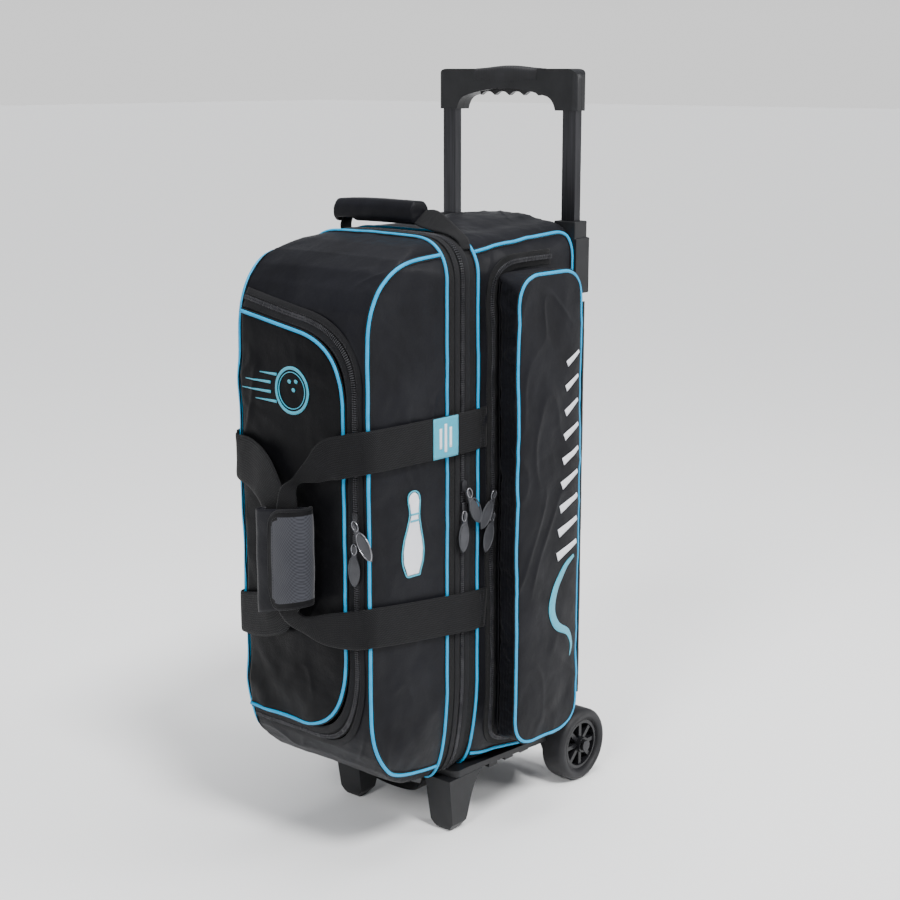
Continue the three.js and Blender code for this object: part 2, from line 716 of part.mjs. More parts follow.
for (const [name, side] of [['right', 1], ['left', -1]]) {
  add(`foot_${name}`, foot(side), PLASTIC);
  for (const [part, shape, material] of [['tyre', tyre(), RUBBER], ['hub', hub(), PLASTIC]]) {
    const wheel = add(`wheel_${part}_${name}`, shape, material);
    wheel.position.set(side * WHEEL_X, WHEEL_Y, WHEEL_RADIUS);
    if (side < 0) wheel.rotation.z = Math.PI;
  }
  const outer = tubeSection(OUTER_TUBE, OUTER_TUBE.bottom, OUTER_TUBE.top);
  const inner = tubeSection(TUBE, INNER_TUBE.bottom, INNER_TUBE.top);
  const trolley = [
    ['outer_tube', outer, TUBE_METAL],
    ['collar', collar(), PLASTIC],
    ['skid_rail', skidRail(), PLASTIC],
    ['inner_tube', inner, TUBE_METAL],
    ['lock_block', lockBlock(), PLASTIC],
  ];
  for (const [part, shape, material] of trolley) {
    add(`${part}_${name}`, shape, material).position.set(side * TUBE_X, TUBE_Y, 0);
  }
  add(`pocket_cover_${name}`, pocketCover(side), FABRIC);
}

add('grip_front', gripShell(GRIP.front, TUBE_Y - FIT / 2), PLASTIC);
add('grip_rear', gripShell(TUBE_Y + FIT / 2, GRIP.rear), PLASTIC);
add('grip_overmould', overmould(), RUBBER);
add('release_trigger', releaseTrigger(), PLASTIC);

add('lid_shell', lidShell(), FABRIC);
add('lid_zip_tape', zipRing(-ZIP_BAND, -0.4), ZIP);
add('lid_partition', lidPartition(), LINING);
add('door_zip_tape', doorZip(), ZIP);
add('shoe_door', shoeDoor(), FABRIC);

for (const [name, low] of [['upper', UPPER_STRAP], ['lower', LOWER_STRAP]]) {
  add(`left_strap_${name}`, strap(SIDE_RUN, -1, low), WEB);
}
add('left_loop', leftLoop(), WEB);
add('right_loop', rightLoop(), WEB);
add('handle_wrap', handleWrap(), FABRIC_GREY);
add('grab_webbing', grabWebbing(), WEB);
add('grab_pad', grabPad(), FABRIC);
add('bottom_handle', bottomHandle(), WEB);

const POCKET_ZIP = 57; // y of the side pockets' zips
addZip('main', HALF_WIDTH + FIT, 0, 0, 480, [0.5, -0.1]);
addZip('door', DOOR.right + 16, -LID_DEPTH, -Math.PI / 2, 466, [0.65, 0]);
addZip('right_pocket', HALF_WIDTH + FIT, POCKET_ZIP, 0, 468, [-0.6, -0.35]);
addZip('left_pocket', -HALF_WIDTH - FIT, POCKET_ZIP, Math.PI, 468, [0.6, 0.35]);

export default bag;
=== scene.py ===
import math

import bpy
import numpy as np
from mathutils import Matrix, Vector
from mathutils.bvhtree import BVHTree


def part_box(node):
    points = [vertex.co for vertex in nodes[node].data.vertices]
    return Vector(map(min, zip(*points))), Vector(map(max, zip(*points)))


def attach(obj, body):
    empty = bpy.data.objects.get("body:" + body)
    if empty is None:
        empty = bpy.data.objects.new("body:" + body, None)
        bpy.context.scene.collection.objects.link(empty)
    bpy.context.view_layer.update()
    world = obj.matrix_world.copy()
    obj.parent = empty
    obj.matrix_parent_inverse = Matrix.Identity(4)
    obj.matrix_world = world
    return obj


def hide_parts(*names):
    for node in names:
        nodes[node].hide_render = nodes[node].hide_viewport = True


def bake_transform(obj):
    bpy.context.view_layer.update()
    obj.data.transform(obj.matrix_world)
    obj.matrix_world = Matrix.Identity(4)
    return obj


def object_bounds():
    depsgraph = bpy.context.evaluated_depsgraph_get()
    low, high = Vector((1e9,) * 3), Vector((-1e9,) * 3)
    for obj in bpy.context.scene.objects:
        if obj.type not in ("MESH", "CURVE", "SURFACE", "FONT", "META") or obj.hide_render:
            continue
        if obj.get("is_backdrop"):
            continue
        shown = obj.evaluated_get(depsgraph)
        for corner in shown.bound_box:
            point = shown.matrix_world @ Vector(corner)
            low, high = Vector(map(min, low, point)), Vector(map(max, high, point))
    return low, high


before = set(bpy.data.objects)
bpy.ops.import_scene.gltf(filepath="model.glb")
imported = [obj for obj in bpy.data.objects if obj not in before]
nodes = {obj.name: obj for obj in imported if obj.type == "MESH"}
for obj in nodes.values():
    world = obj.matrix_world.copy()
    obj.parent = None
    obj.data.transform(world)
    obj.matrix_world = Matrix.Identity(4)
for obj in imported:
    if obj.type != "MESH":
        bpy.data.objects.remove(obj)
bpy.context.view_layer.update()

MM = 0.001
PLANE_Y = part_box("lid_zip_tape")[1].y + 0.4 * MM  # the closing plane of the main zip
SIDES = (("right", 1), ("left", -1))


# ------------ coordinates
# Sizes are written in millimetres in the bag's own frame: the zip's closing plane is y = 0 and
# the floor is z = 0. at() turns them into the row frame, in metres.
def at(points):
    out = np.array(points, float) * MM
    out[..., 1] += PLANE_Y
    return out


def back(points):
    out = np.array(points, float)
    out[..., 1] -= PLANE_Y
    return out / MM


def step(low, high, value):
    t = np.clip((value - low) / (high - low), 0, 1)
    return t * t * (3 - 2 * t)


def unit(vectors):
    return vectors / np.maximum(np.linalg.norm(vectors, axis=-1, keepdims=True), 1e-12)


def side_plane(flat, x):
    """A line drawn as (y, z), on the plane at x."""
    return np.stack([np.full(len(flat), float(x)), flat[:, 0], flat[:, 1]], axis=1)


def front_plane(flat, y):
    """A line drawn as (x, z), on the plane at y."""
    return np.stack([flat[:, 0], np.full(len(flat), float(y)), flat[:, 1]], axis=1)


def run_of(line):
    """The distance along the line at each of its points."""
    return np.concatenate([[0], np.cumsum(np.linalg.norm(np.diff(line, axis=0), axis=1))])


# ------------ paths
def even(points, spacing, closed=False):
    """The same line with points at even spacing."""
    p = np.array(points, float)
    if closed:
        p = np.vstack([p, p[:1]])
    run = run_of(p)
    count = max(3, int(round(run[-1] / spacing)))
    where = np.linspace(0, run[-1], count + 1)
    if closed:
        where = where[:-1]
    return np.stack([np.interp(where, run, p[:, k]) for k in range(p.shape[1])], axis=1)


def curve(points, spacing=3.0, closed=False):
    """A smooth line through the points."""
    p = np.array(points, float)
    n = len(p)
    dense = []
    for i in range(n if closed else n - 1):
        if closed:
            a, b, c, d = (p[(i + k) % n] for k in (-1, 0, 1, 2))
        else:
            b, c = p[i], p[i + 1]
            a = p[i - 1] if i else 2 * b - c
            d = p[i + 2] if i + 2 < n else 2 * c - b
        t = np.linspace(0, 1, 16, endpoint=False)[:, None]
        dense.append(
            0.5 * (2 * b + (c - a) * t + (2 * a - 5 * b + 4 * c - d) * t**2 + (3 * b - a - 3 * c + d) * t**3)
        )
    if not closed:
        dense.append(p[-1:])
    return even(np.vstack(dense), spacing, closed)


def drawn(start, *segments):
    """A line of straight and quadratic segments: each is (end,) or (control, end)."""
    points = [np.array(start, float)]
    for segment in segments:
        here, end = points[-1], np.array(segment[-1], float)
        control = np.array(segment[0], float) if len(segment) == 2 else (here + end) / 2
        for t in np.linspace(0, 1, 17)[1:]:
            points.append((1 - t) ** 2 * here + 2 * t * (1 - t) * control + t * t * end)
    return np.array(points)


HALF = 118  # half the bag's width
BOTTOM = 88  # underside of the cloth
TOP = 788
DEPTH = 226  # the body's back
LID = 163  # the lid's front, in front of the closing plane
BAND = 28  # half the flat band that holds the main zip
DOOR_LEFT = -103.0


def bag_outline(inset=0.0):
    h, low, high = HALF - inset, BOTTOM + inset, TOP - inset
    right = drawn(
        (0, low),
        ((h - 38, low),),
        ((h - 6, low), (h, low + 125)),
        ((h, high - 45),),
        ((h - 2, high), (h - 52, high)),
        ((0, high),),
    )
    left = right[::-1][1:-1] * (-1, 1)
    return np.vstack([right, left])


def door_outline(grow):
    """The door's three free sides, moved outward by grow. It starts and ends at the hinge."""
    right, top, low, corner = 75 + grow, 686 + grow, 182 - grow, 78
    shoulder = right - grow - corner
    return drawn(
        (DOOR_LEFT, low),
        ((right - corner, low),),
        ((right - 4, low + 4), (right, low + corner + 25)),
        ((right, top - corner - 5),),
        ((right - 4, top - 10), (shoulder, top)),
        ((DOOR_LEFT, top + 0.16 * (shoulder - DOOR_LEFT)),),
    )


# ------------ the bag's soft shape
def folds(p, seed, size):
    """Soft uneven creases, from -1 to 1: waves whose place is bent by slower waves."""
    rng = np.random.default_rng(seed)
    q = p / size
    for _ in range(2):
        bend = np.zeros_like(q)
        for k in range(3):
            direction = unit(rng.normal(size=3))
            bend[:, k] = np.sin(q @ direction * 1.7 + rng.uniform(0, 6.28))
        q = q + 0.75 * bend
    total = np.zeros(len(p))
    for k in range(6):
        direction = unit(rng.normal(size=3) * (1, 1, 0.55))
        total += np.sin(q @ direction * (1.3 + 0.55 * k) + rng.uniform(0, 6.28)) / (1 + 0.5 * k)
    return total / 2.4


SWELL_LID = 2.6
SWELL_BODY = 0.8
SWELL_FRONT = 2.6
CREST = 5.5  # the top's rise over the balls
CREST_SPREAD = 75


def puff(points, creases=1.0):
    """Where the padding and the load push the cloth: one field for every soft piece, so that
    seams, zips and piping stay together."""
    p = back(points)
    x, y, z = p.T
    tall = np.clip(np.sin(np.pi * np.clip((z - 95) / 690, 0, 1)), 0, 1) ** 0.5
    side = step(92, 114, np.abs(x)) * tall
    lid = np.sin(np.pi * np.clip((-BAND - y) / (LID - BAND), 0, 1))
    body = np.sin(np.pi * np.clip((y - BAND) / (DEPTH - BAND), 0, 1))
    front = step(-140, -160, y) * tall * np.cos(np.clip(x / 125, -1, 1) * np.pi / 2)
    crest = step(735, 785, z) * np.sqrt(np.clip(1 - (x / 119) ** 2, 0, 1))
    move = np.zeros_like(p)
    move[:, 0] = np.sign(x) * side * (SWELL_LID * lid + SWELL_BODY * body)
    move[:, 1] = -SWELL_FRONT * front
    move[:, 2] = crest * (CREST * np.exp(-((y / CREST_SPREAD) ** 2)) + 1.5)
    outward = unit(np.stack([x / 118, (y - 30) / 190, (z - 440) / 350], axis=1) ** 5 + 1e-9)
    free = 1 - 0.75 * np.exp(-((y / 34) ** 2))
    pinch = np.clip(1 - 2.4 * np.abs(folds(p, 5, 46.0)), 0, 1) ** 2 * step(-0.1, 0.5, folds(p, 12, 80.0))
    crease = 2.0 * folds(p, 3, 62.0) + 0.6 * folds(p, 8, 25.0) + 1.9 * pinch
    move += outward * (creases * free * crease)[:, None]
    return at(p + move)


# ------------ materials
def colour(value):
    return (*value, 1.0)


class Nodes:
    """A small helper that adds and links shader nodes."""

    def __init__(self, name, base, roughness, metallic=0.0, specular=0.5, sheen=0.0):
        self.material = bpy.data.materials.new(name)
        self.material.use_nodes = True
        self.tree = self.material.node_tree
        self.shader = self.tree.nodes["Principled BSDF"]
        self.shader.inputs["Base Color"].default_value = colour(base)
        self.shader.inputs["Roughness"].default_value = roughness
        self.shader.inputs["Metallic"].default_value = metallic
        self.shader.inputs["Specular IOR Level"].default_value = specular
        self.shader.inputs["Sheen Weight"].default_value = sheen
        self.shader.inputs["Sheen Roughness"].default_value = 0.45
        self.height = None

    def node(self, kind, **inputs):
        made = self.tree.nodes.new(kind)
        for key, value in inputs.items():
            made.inputs[key.replace("_", " ")].default_value = value
        return made

    def link(self, a, b):
        self.tree.links.new(a, b)

    def place(self, scale=(1, 1, 1), turn=(0, 0, 0), attribute=None):
        """Coordinates in metres, or the along-and-across coordinates of a swept strip."""
        if attribute:
            source = self.tree.nodes.new("ShaderNodeAttribute")
            source.attribute_name = attribute
            out = source.outputs["Vector"]
        else:
            out = self.tree.nodes.new("ShaderNodeTexCoord").outputs["Object"]
        mapping = self.tree.nodes.new("ShaderNodeMapping")
        mapping.inputs["Scale"].default_value = scale
        mapping.inputs["Rotation"].default_value = turn
        self.link(out, mapping.inputs["Vector"])
        return mapping.outputs["Vector"]

    def noise(self, scale, detail=3.0, where=None):
        made = self.node("ShaderNodeTexNoise", Scale=scale, Detail=detail, Roughness=0.6)
        self.link(where or self.place(), made.inputs["Vector"])
        return made.outputs["Fac"]

    def wave(self, scale, where, distortion=0.0, direction="X"):
        made = self.node("ShaderNodeTexWave", Scale=scale, Distortion=distortion)
        made.bands_direction = direction
        self.link(where, made.inputs["Vector"])
        return made.outputs["Fac"]

    def maths(self, operation, a, b):
        made = self.tree.nodes.new("ShaderNodeMath")
        made.operation = operation
        for socket, value in zip(made.inputs, (a, b)):
            if isinstance(value, (int, float)):
                socket.default_value = value
            else:
                self.link(value, socket)
        return made.outputs["Value"]

    def paint(self, factor, low, high):
        """The base colour, from low to high as factor goes from 0.3 to 0.7."""
        made = self.tree.nodes.new("ShaderNodeValToRGB")
        for stop, position, value in zip(made.color_ramp.elements, (0.3, 0.7), (low, high)):
            stop.position = position
            stop.color = colour(value)
        self.link(factor, made.inputs["Fac"])
        self.link(made.outputs["Color"], self.shader.inputs["Base Color"])

    def blended(self, a, share, b, other):
        """a and b, added in those shares."""
        return self.maths("ADD", self.maths("MULTIPLY", a, share), self.maths("MULTIPLY", b, other))

    def gloss(self, factor, low, high):
        made = self.tree.nodes.new("ShaderNodeMapRange")
        made.inputs["To Min"].default_value = low
        made.inputs["To Max"].default_value = high
        self.link(factor, made.inputs["Value"])
        self.link(made.outputs["Result"], self.shader.inputs["Roughness"])

    def bump(self, height, distance, strength=1.0):
        made = self.node("ShaderNodeBump", Strength=strength, Distance=distance)
        self.link(height, made.inputs["Height"])
        if self.height is not None:
            self.link(self.height, made.inputs["Normal"])
        self.height = made.outputs["Normal"]
        self.link(self.height, self.shader.inputs["Normal"])


def wave_scale(pitch):
    """The wave texture's scale that gives one thread to each pitch, in millimetres."""
    return 1000.0 / pitch / 6.28 * 2


def cloth_material(name, dark, light, sheen, rough, pitch=1.1):
    """Coated polyester: a fine diagonal weave, uneven sheen and slow colour variation."""
    m = Nodes(name, dark, 0.5, specular=0.07, sheen=sheen)
    warp = m.wave(wave_scale(pitch), m.place(turn=(0.0, 0.785, 0.6)), 0.6)
    weft = m.wave(wave_scale(pitch), m.place(turn=(0.5, -0.785, 0.4)), 0.6)
    weave = m.blended(warp, 0.65, weft, 0.35)
    silk = m.noise(1.0, 3.0, m.place(scale=(14, 14, 40), turn=(0.5, 0.3, 0.6)))
    m.paint(m.blended(weave, 0.45, m.noise(9.0, 5.0), 0.6), dark, light)
    m.gloss(silk, *rough)
    m.bump(m.noise(45.0, 4.0), 1.0 * MM, 0.8)
    m.bump(m.noise(14.0, 2.0), 5.0 * MM, 0.7)
    m.bump(weave, 0.14 * MM, 0.6)
    return m.material


def webbing_material(name, dark, light, pitch=1.9):
    """Woven webbing: rows of short slanted ribs across its width, read from the strip."""
    m = Nodes(name, dark, 0.75, specular=0.12, sheen=0.05)
    ribs = m.wave(wave_scale(pitch), m.place(turn=(0, 0, 0.62), attribute="strip"), 0.4)
    rows = m.wave(wave_scale(1.4 * pitch), m.place(attribute="strip"), 0.2, "Y")
    weave = m.maths("MULTIPLY", ribs, m.maths("ADD", m.maths("MULTIPLY", rows, 0.6), 0.4))
    m.paint(m.blended(weave, 0.7, m.noise(30.0), 0.4), dark, light)
    m.gloss(m.noise(60.0), 0.6, 0.85)
    m.bump(weave, 0.5 * MM, 0.9)
    return m.material


def plastic_material(name, dark, light, rough=(0.34, 0.5), grain=900.0):
    """Moulded plastic: a fine spark-eroded grain, faint scuffs and a little colour variation."""
    m = Nodes(name, dark, 0.42, specular=0.24)
    m.paint(m.noise(40.0, 5.0), dark, light)
    scuff = m.noise(1.0, 5.0, m.place(scale=(160, 160, 45)))
    m.gloss(m.blended(scuff, 0.6, m.noise(18.0), 0.4), *rough)
    m.bump(m.noise(grain, 2.0), 0.08 * MM, 0.6)
    return m.material


def metal_material(name, dark, light, rough, along=(900, 900, 12), metallic=1.0):
    """Metal with fine lines along its length."""
    m = Nodes(name, dark, rough[0], metallic=metallic)
    lines = m.noise(1.0, 3.0, m.place(scale=along))
    m.paint(lines, dark, light)
    m.gloss(m.noise(25.0, 4.0), *rough)
    m.bump(lines, 0.02 * MM, 0.5)
    return m.material


def thread_material(name, dark, light):
    """Satin embroidery thread in parallel stitches."""
    m = Nodes(name, dark, 0.42, specular=0.5, sheen=0.3)
    threads = m.wave(wave_scale(0.75), m.place(turn=(0.0, 0.5, 0.3)), 1.2, "Z")
    m.paint(m.blended(threads, 0.6, m.noise(120.0), 0.4), dark, light)
    m.bump(threads, 0.3 * MM, 0.9)
    return m.material


def cord_material(name, dark, light):
    """Coloured piping: cloth wound tightly over a cord, with a soft satin shine."""
    m = Nodes(name, dark, 0.36, specular=0.2)
    twist = m.wave(wave_scale(1.1), m.place(turn=(0, 0, 0.5), attribute="strip"), 0.3)
    m.paint(m.blended(twist, 0.35, m.noise(60.0), 0.65), dark, light)
    m.gloss(m.noise(45.0), 0.3, 0.46)
    m.bump(twist, 0.12 * MM, 0.6)
    return m.material


CLOTH = cloth_material(
    "coated polyester", (0.0018, 0.0018, 0.0023), (0.0105, 0.0107, 0.0135), 0.02, (0.24, 0.54),
)
# The door's cloth is the coated polyester in darker colours. The darkening is painted shade for the door's
# face, which is turned away from the key light.
SHADED_DOOR_CLOTH = cloth_material(
    "smooth polyester with painted shade", (0.001, 0.001, 0.0013), (0.0045, 0.0046, 0.0056), 0.01, (0.26, 0.52), 0.9,
)
GREY = cloth_material(
    "grey padded cloth", (0.02, 0.0205, 0.025), (0.042, 0.0435, 0.052), 0.2, (0.55, 0.75), 2.4,
)
LINING = cloth_material("lining", (0.018, 0.019, 0.022), (0.035, 0.036, 0.04), 0.3, (0.6, 0.8), 1.4)
BINDING = webbing_material("binding tape", (0.0028, 0.0028, 0.0035), (0.009, 0.009, 0.011), 1.2)
WEB = webbing_material("webbing", (0.0022, 0.0022, 0.0026), (0.0085, 0.0085, 0.0098))
TAPE = webbing_material("zip tape", (0.0022, 0.0022, 0.0025), (0.0075, 0.0075, 0.0085), 1.0)
COIL = plastic_material("zip coil", (0.026, 0.026, 0.029), (0.055, 0.055, 0.06), (0.2, 0.34), 2000.0)
PLASTIC = plastic_material("moulded plastic", (0.0055, 0.0057, 0.0066), (0.0105, 0.0108, 0.0122))
GLOSSY = plastic_material("smooth plastic", (0.007, 0.007, 0.008), (0.012, 0.012, 0.014), (0.2, 0.34))
SOFT_GRIP = plastic_material("soft grip", (0.008, 0.008, 0.009), (0.014, 0.014, 0.016), (0.55, 0.72))
TYRE = plastic_material("polyurethane tyre", (0.01, 0.01, 0.011), (0.018, 0.018, 0.02), (0.45, 0.65), 400.0)
BOARD = plastic_material("board", (0.02, 0.02, 0.022), (0.03, 0.03, 0.033), (0.6, 0.8), 200.0)
TUBE = metal_material(
    "anodised tube", (0.02, 0.02, 0.022), (0.045, 0.045, 0.05), (0.28, 0.4), metallic=0.85,
)
SLIDER = metal_material(
    "enamelled zinc", (0.02, 0.02, 0.022), (0.04, 0.04, 0.045), (0.22, 0.34), (90, 90, 90), 0.7,
)
GUNMETAL = metal_material("gunmetal", (0.16, 0.16, 0.17), (0.28, 0.28, 0.3), (0.22, 0.36), (60, 60, 60))
LEAF = plastic_material("pull leaf", (0.03, 0.031, 0.035), (0.055, 0.056, 0.062), (0.35, 0.5), 500.0)
PIPING = cord_material("sky blue piping", (0.0, 0.2, 0.4), (0.0, 0.3, 0.56))
THREAD = plastic_material("black thread", (0.012, 0.012, 0.013), (0.03, 0.03, 0.034), (0.5, 0.7), 1500.0)
BLUE_THREAD = thread_material("blue embroidery", (0.002, 0.25, 0.38), (0.008, 0.4, 0.55))
WHITE_THREAD = thread_material("white embroidery", (0.6, 0.61, 0.66), (0.86, 0.87, 0.92))


# ------------ mesh pieces
def build(name, verts, faces, material, strip=None, smooth=True):
    mesh = bpy.data.meshes.new(name)
    mesh.from_pydata([tuple(v) for v in verts], [], [tuple(f) for f in faces])
    mesh.validate()
    if strip is not None:
        values = np.zeros((len(verts), 3), np.float32)
        values[:, :2] = strip
        made = mesh.attributes.new("strip", "FLOAT_VECTOR", "POINT")
        made.data.foreach_set("vector", values.ravel())
    mesh.polygons.foreach_set("use_smooth", [smooth] * len(mesh.polygons))
    mesh.materials.append(material)
    made = bpy.data.objects.new(name, mesh)
    bpy.context.scene.collection.objects.link(made)
    return made


def finished(obj):
    """The object, with its modifiers applied."""
    bpy.context.view_layer.update()
    dg = bpy.context.evaluated_depsgraph_get()
    mesh = bpy.data.meshes.new_from_object(obj.evaluated_get(dg))
    obj.modifiers.clear()
    obj.data = mesh
    return obj


def tangents(line, closed):
    if closed:
        return unit(np.roll(line, -1, axis=0) - np.roll(line, 1, axis=0))
    return unit(np.gradient(line, axis=0))


def swept(name, line, up, profile, material, closed=False, scale=None):
    """A profile of (across, up) points swept along a line."""
    line, up = np.array(line, float), np.array(up, float)
    if up.ndim == 1:
        up = np.tile(up, (len(line), 1))
    along = tangents(line, closed)
    across = unit(np.cross(up, along))
    up = np.cross(along, across)
    profile = np.array(profile, float)
    m, n = len(profile), len(line)
    size = np.ones((n, 2)) if scale is None else np.array(scale, float)
    if size.ndim == 1:
        size = np.stack([size, size], axis=1)
    verts = (
        line[:, None]
        + across[:, None] * (profile[None, :, 0] * size[:, :1])[..., None]
        + up[:, None] * (profile[None, :, 1] * size[:, 1:])[..., None]
    ).reshape(-1, 3)
    strip = np.stack([np.repeat(run_of(line), m), np.tile(run_of(profile), n)], axis=1)
    faces = []
    for i in range(n if closed else n - 1):
        a, b = i * m, ((i + 1) % n) * m
        for k in range(m):
            after = (k + 1) % m
            faces.append((a + k, a + after, b + after, b + k))
    if not closed:
        faces.append(tuple(range(m - 1, -1, -1)))
        faces.append(tuple(range((n - 1) * m, n * m)))
    return build(name, verts, faces, material, strip)


def ring(radius, sides=10, centre=(0.0, 0.0)):
    t = np.linspace(0, 2 * np.pi, sides, endpoint=False)
    return np.stack([np.cos(t) * radius + centre[0], np.sin(t) * radius + centre[1]], axis=1)


def slab(width, thick, crown=0.0, steps=9):
    """A strip's section: rounded edges, and a crown that lifts its middle."""
    t = np.linspace(-1, 1, steps)
    at_edge = np.abs(t) == 1
    across = t * (width / 2 - 0.35 * thick * at_edge)
    top = np.where(at_edge, 0.7 * thick, thick) + crown * (1 - t * t)
    low = np.where(at_edge, 0.25 * thick, 0.0)
    return np.vstack([np.stack([-across, top], axis=1), np.stack([-across, low], axis=1)[::-1]])


def many(name, centres, along, up, size, material, taper=1.0):
    """Small rounded bars in one mesh: one at each centre, for zip teeth and stitches."""
    across = unit(np.cross(up, along))
    up = np.cross(along, across)
    corner = np.array([(a, b, c) for a in (-1, 1) for b in (-1, 1) for c in (0, 1)], float) / (2, 2, 1)
    corner[corner[:, 2] > 0, :2] *= taper
    corner = corner * size
    verts = (
        centres[:, None]
        + along[:, None] * corner[None, :, :1]
        + across[:, None] * corner[None, :, 1:2]
        + up[:, None] * corner[None, :, 2:]
    ).reshape(-1, 3)
    quads = [(0, 1, 3, 2), (4, 6, 7, 5), (0, 4, 5, 1), (2, 3, 7, 6), (1, 5, 7, 3), (0, 2, 6, 4)]
    faces = [tuple(8 * i + k for k in q) for i in range(len(centres)) for q in quads]
    return build(name, verts, faces, material, smooth=False)


# ------------ cloth shells from the CAD solids
surfaces = {}  # the shaped cloth faces by CAD node, for pieces that lie on them


def soft_shell(node, name, material, voxel, creases=1.0, smoothing=4, extra=None):
    """The CAD solid of a cloth piece, remeshed finely, relaxed, and pushed out by its padding."""
    made = bpy.data.objects.new(name, nodes[node].data.copy())
    bpy.context.scene.collection.objects.link(made)
    remesh = made.modifiers.new("remesh", "REMESH")
    remesh.mode = "VOXEL"
    remesh.voxel_size = voxel * MM
    smooth = made.modifiers.new("relax", "SMOOTH")
    smooth.factor = 0.5
    smooth.iterations = smoothing
    finished(made)
    mesh = made.data
    co = np.zeros(len(mesh.vertices) * 3)
    mesh.vertices.foreach_get("co", co)
    co = co.reshape(-1, 3)
    if extra:
        co = extra(co)
    co = puff(co, creases)
    mesh.vertices.foreach_set("co", co.ravel())
    mesh.update()
    mesh.materials.clear()
    mesh.materials.append(material)
    mesh.polygons.foreach_set("use_smooth", [True] * len(mesh.polygons))
    mesh.polygons.foreach_set("material_index", [0] * len(mesh.polygons))
    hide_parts(node)
    corners = [v.co.copy() for v in mesh.vertices]
    surfaces[node] = BVHTree.FromPolygons(corners, [tuple(p.vertices) for p in mesh.polygons])
    return made


def on(points, key, lift, hint, relax=8):
    """The points moved onto a cloth surface and lifted off it, with the surface's normals.
    hint is roughly the outward direction, in which each point first steps out."""
    hint = np.broadcast_to(np.array(hint, float), points.shape)
    out, normals = np.zeros_like(points), np.zeros_like(points)
    for i, p in enumerate(points):
        place, normal, _, _ = surfaces[key].find_nearest(Vector(p + unit(hint[i]) * 4 * MM))
        normal = np.array(normal)
        if normal @ hint[i] < 0:
            normal = -normal
        out[i] = np.array(place) + normal * lift * MM
        normals[i] = normal
    for _ in range(relax):
        normals[1:-1] = unit(normals[:-2] + 2 * normals[1:-1] + normals[2:])
        out[1:-1] = (out[:-2] + 2 * out[1:-1] + out[2:]) / 4
    return out, normals


def crown_face(axis, sign, inside, middle, reach, amount):
    """A push along one axis that is full in the middle of a panel and fades to its edges."""

    def moved(co):
        p = back(co)
        share = np.ones(len(p))
        for k in range(3):
            if k != axis:
                share *= np.clip(1 - ((p[:, k] - middle[k]) / reach[k]) ** 4, 0, 1)
        deep = step(inside[0], inside[1], sign * p[:, axis])
        p[:, axis] += sign * amount * share * deep
        return at(p)

    return moved


body_cloth = soft_shell("body_shell", "body_cloth", CLOTH, 3.0)
lid_cloth = soft_shell("lid_shell", "lid_cloth", CLOTH, 2.6)
door_cloth = soft_shell(
    "shoe_door", "door_cloth", SHADED_DOOR_CLOTH, 2.6,
    extra=crown_face(1, -1, (159, 165), (-14, 0, 440), (92, 1, 262), 3.0),
)
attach(body_cloth, "body")
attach(lid_cloth, "lid")
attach(door_cloth, "door")


def pocket_shape(side):
    """A crowned face, and the loose gusset in front of it gathered into creases."""
    crown = crown_face(0, side, (140, 165), (0, 120, 432), (1, 68, 312), 4.0)

    def moved(co):
        p = back(crown(co))
        x = side * p[:, 0]
        gusset = step(119, 130, x) * (1 - step(156, 164, x)) * (1 - step(74, 92, p[:, 1]))
        tall = step(124, 160, p[:, 2]) * (1 - step(706, 742, p[:, 2]))
        squeezed = p * (0.35, 1, 1)
        p[:, 1] += gusset * tall * (2.2 * folds(squeezed, 21, 20.0) + 1.2 * folds(squeezed, 4, 9.0) - 2.0)
        return at(p)

    return moved


for side_name, side in SIDES:
    pocket = soft_shell(
        f"pocket_cover_{side_name}", f"pocket_cloth_{side_name}", CLOTH, 2.2, 0.7, 9,
        extra=pocket_shape(side),
    )
    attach(pocket, f"pocket_{side_name}")

partition = soft_shell("lid_partition", "lid_lining", LINING, 2.8, 0.6)
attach(partition, "lid")
for level in ("lower", "middle", "upper"):
    cradle = soft_shell(f"ball_cup_{level}", f"ball_cradle_{level}", LINING, 3.6, 0.0, 6)
    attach(cradle, "body")


def grab_shape(co):
    """The sleeve sags over its webbing: deeper and longer than the padding inside it."""
    p = back(co)
    p[:, 2] = 812.5 + (p[:, 2] - 815) * 1.14 - 0.012 * p[:, 0]
    p[:, 0] += 11 * step(-70, 20, p[:, 0])
    p[:, 1] = 20 + (p[:, 1] - 20) * (1.08 - 0.25 * step(812, 830, p[:, 2]))
    return at(p)


pad = soft_shell("grab_pad", "grab_sleeve", CLOTH, 1.7, 0.3, 3, extra=grab_shape)
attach(pad, "grab_handle")


# ------------ zips
TOOTH_PITCH = 2.8
TOOTH = (0.5 * TOOTH_PITCH, 3.2, 1.6)
TOOTH_OFFSET = 1.5  # from the line that the zip closes on to the middle of a row of teeth
STITCH_PITCH = 4.2
STITCH = (2.4, 0.55, 0.4)
CORD_RADIUS = 2.35
ZIP_PUFF = 0.4  # creases are shallow where the tape stiffens the cloth
DOOR_PUFF = 0.6


def outline_line(inset, y, spacing=3.0):
    """The bag's outline at y, moved in by inset, and its outward directions."""
    flat = even(bag_outline(inset), spacing, closed=True)
    d = tangents(flat, True)
    outward = np.stack([d[:, 1], np.zeros(len(d)), -d[:, 0]], axis=1)
    return puff(at(front_plane(flat, y)), ZIP_PUFF), outward


def replaced(obj, body, slot, *hidden):
    """The new piece, attached to its body, with the CAD parts that it replaces hidden."""
    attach(obj, body)
    if hidden:
        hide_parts(*hidden)
    return obj


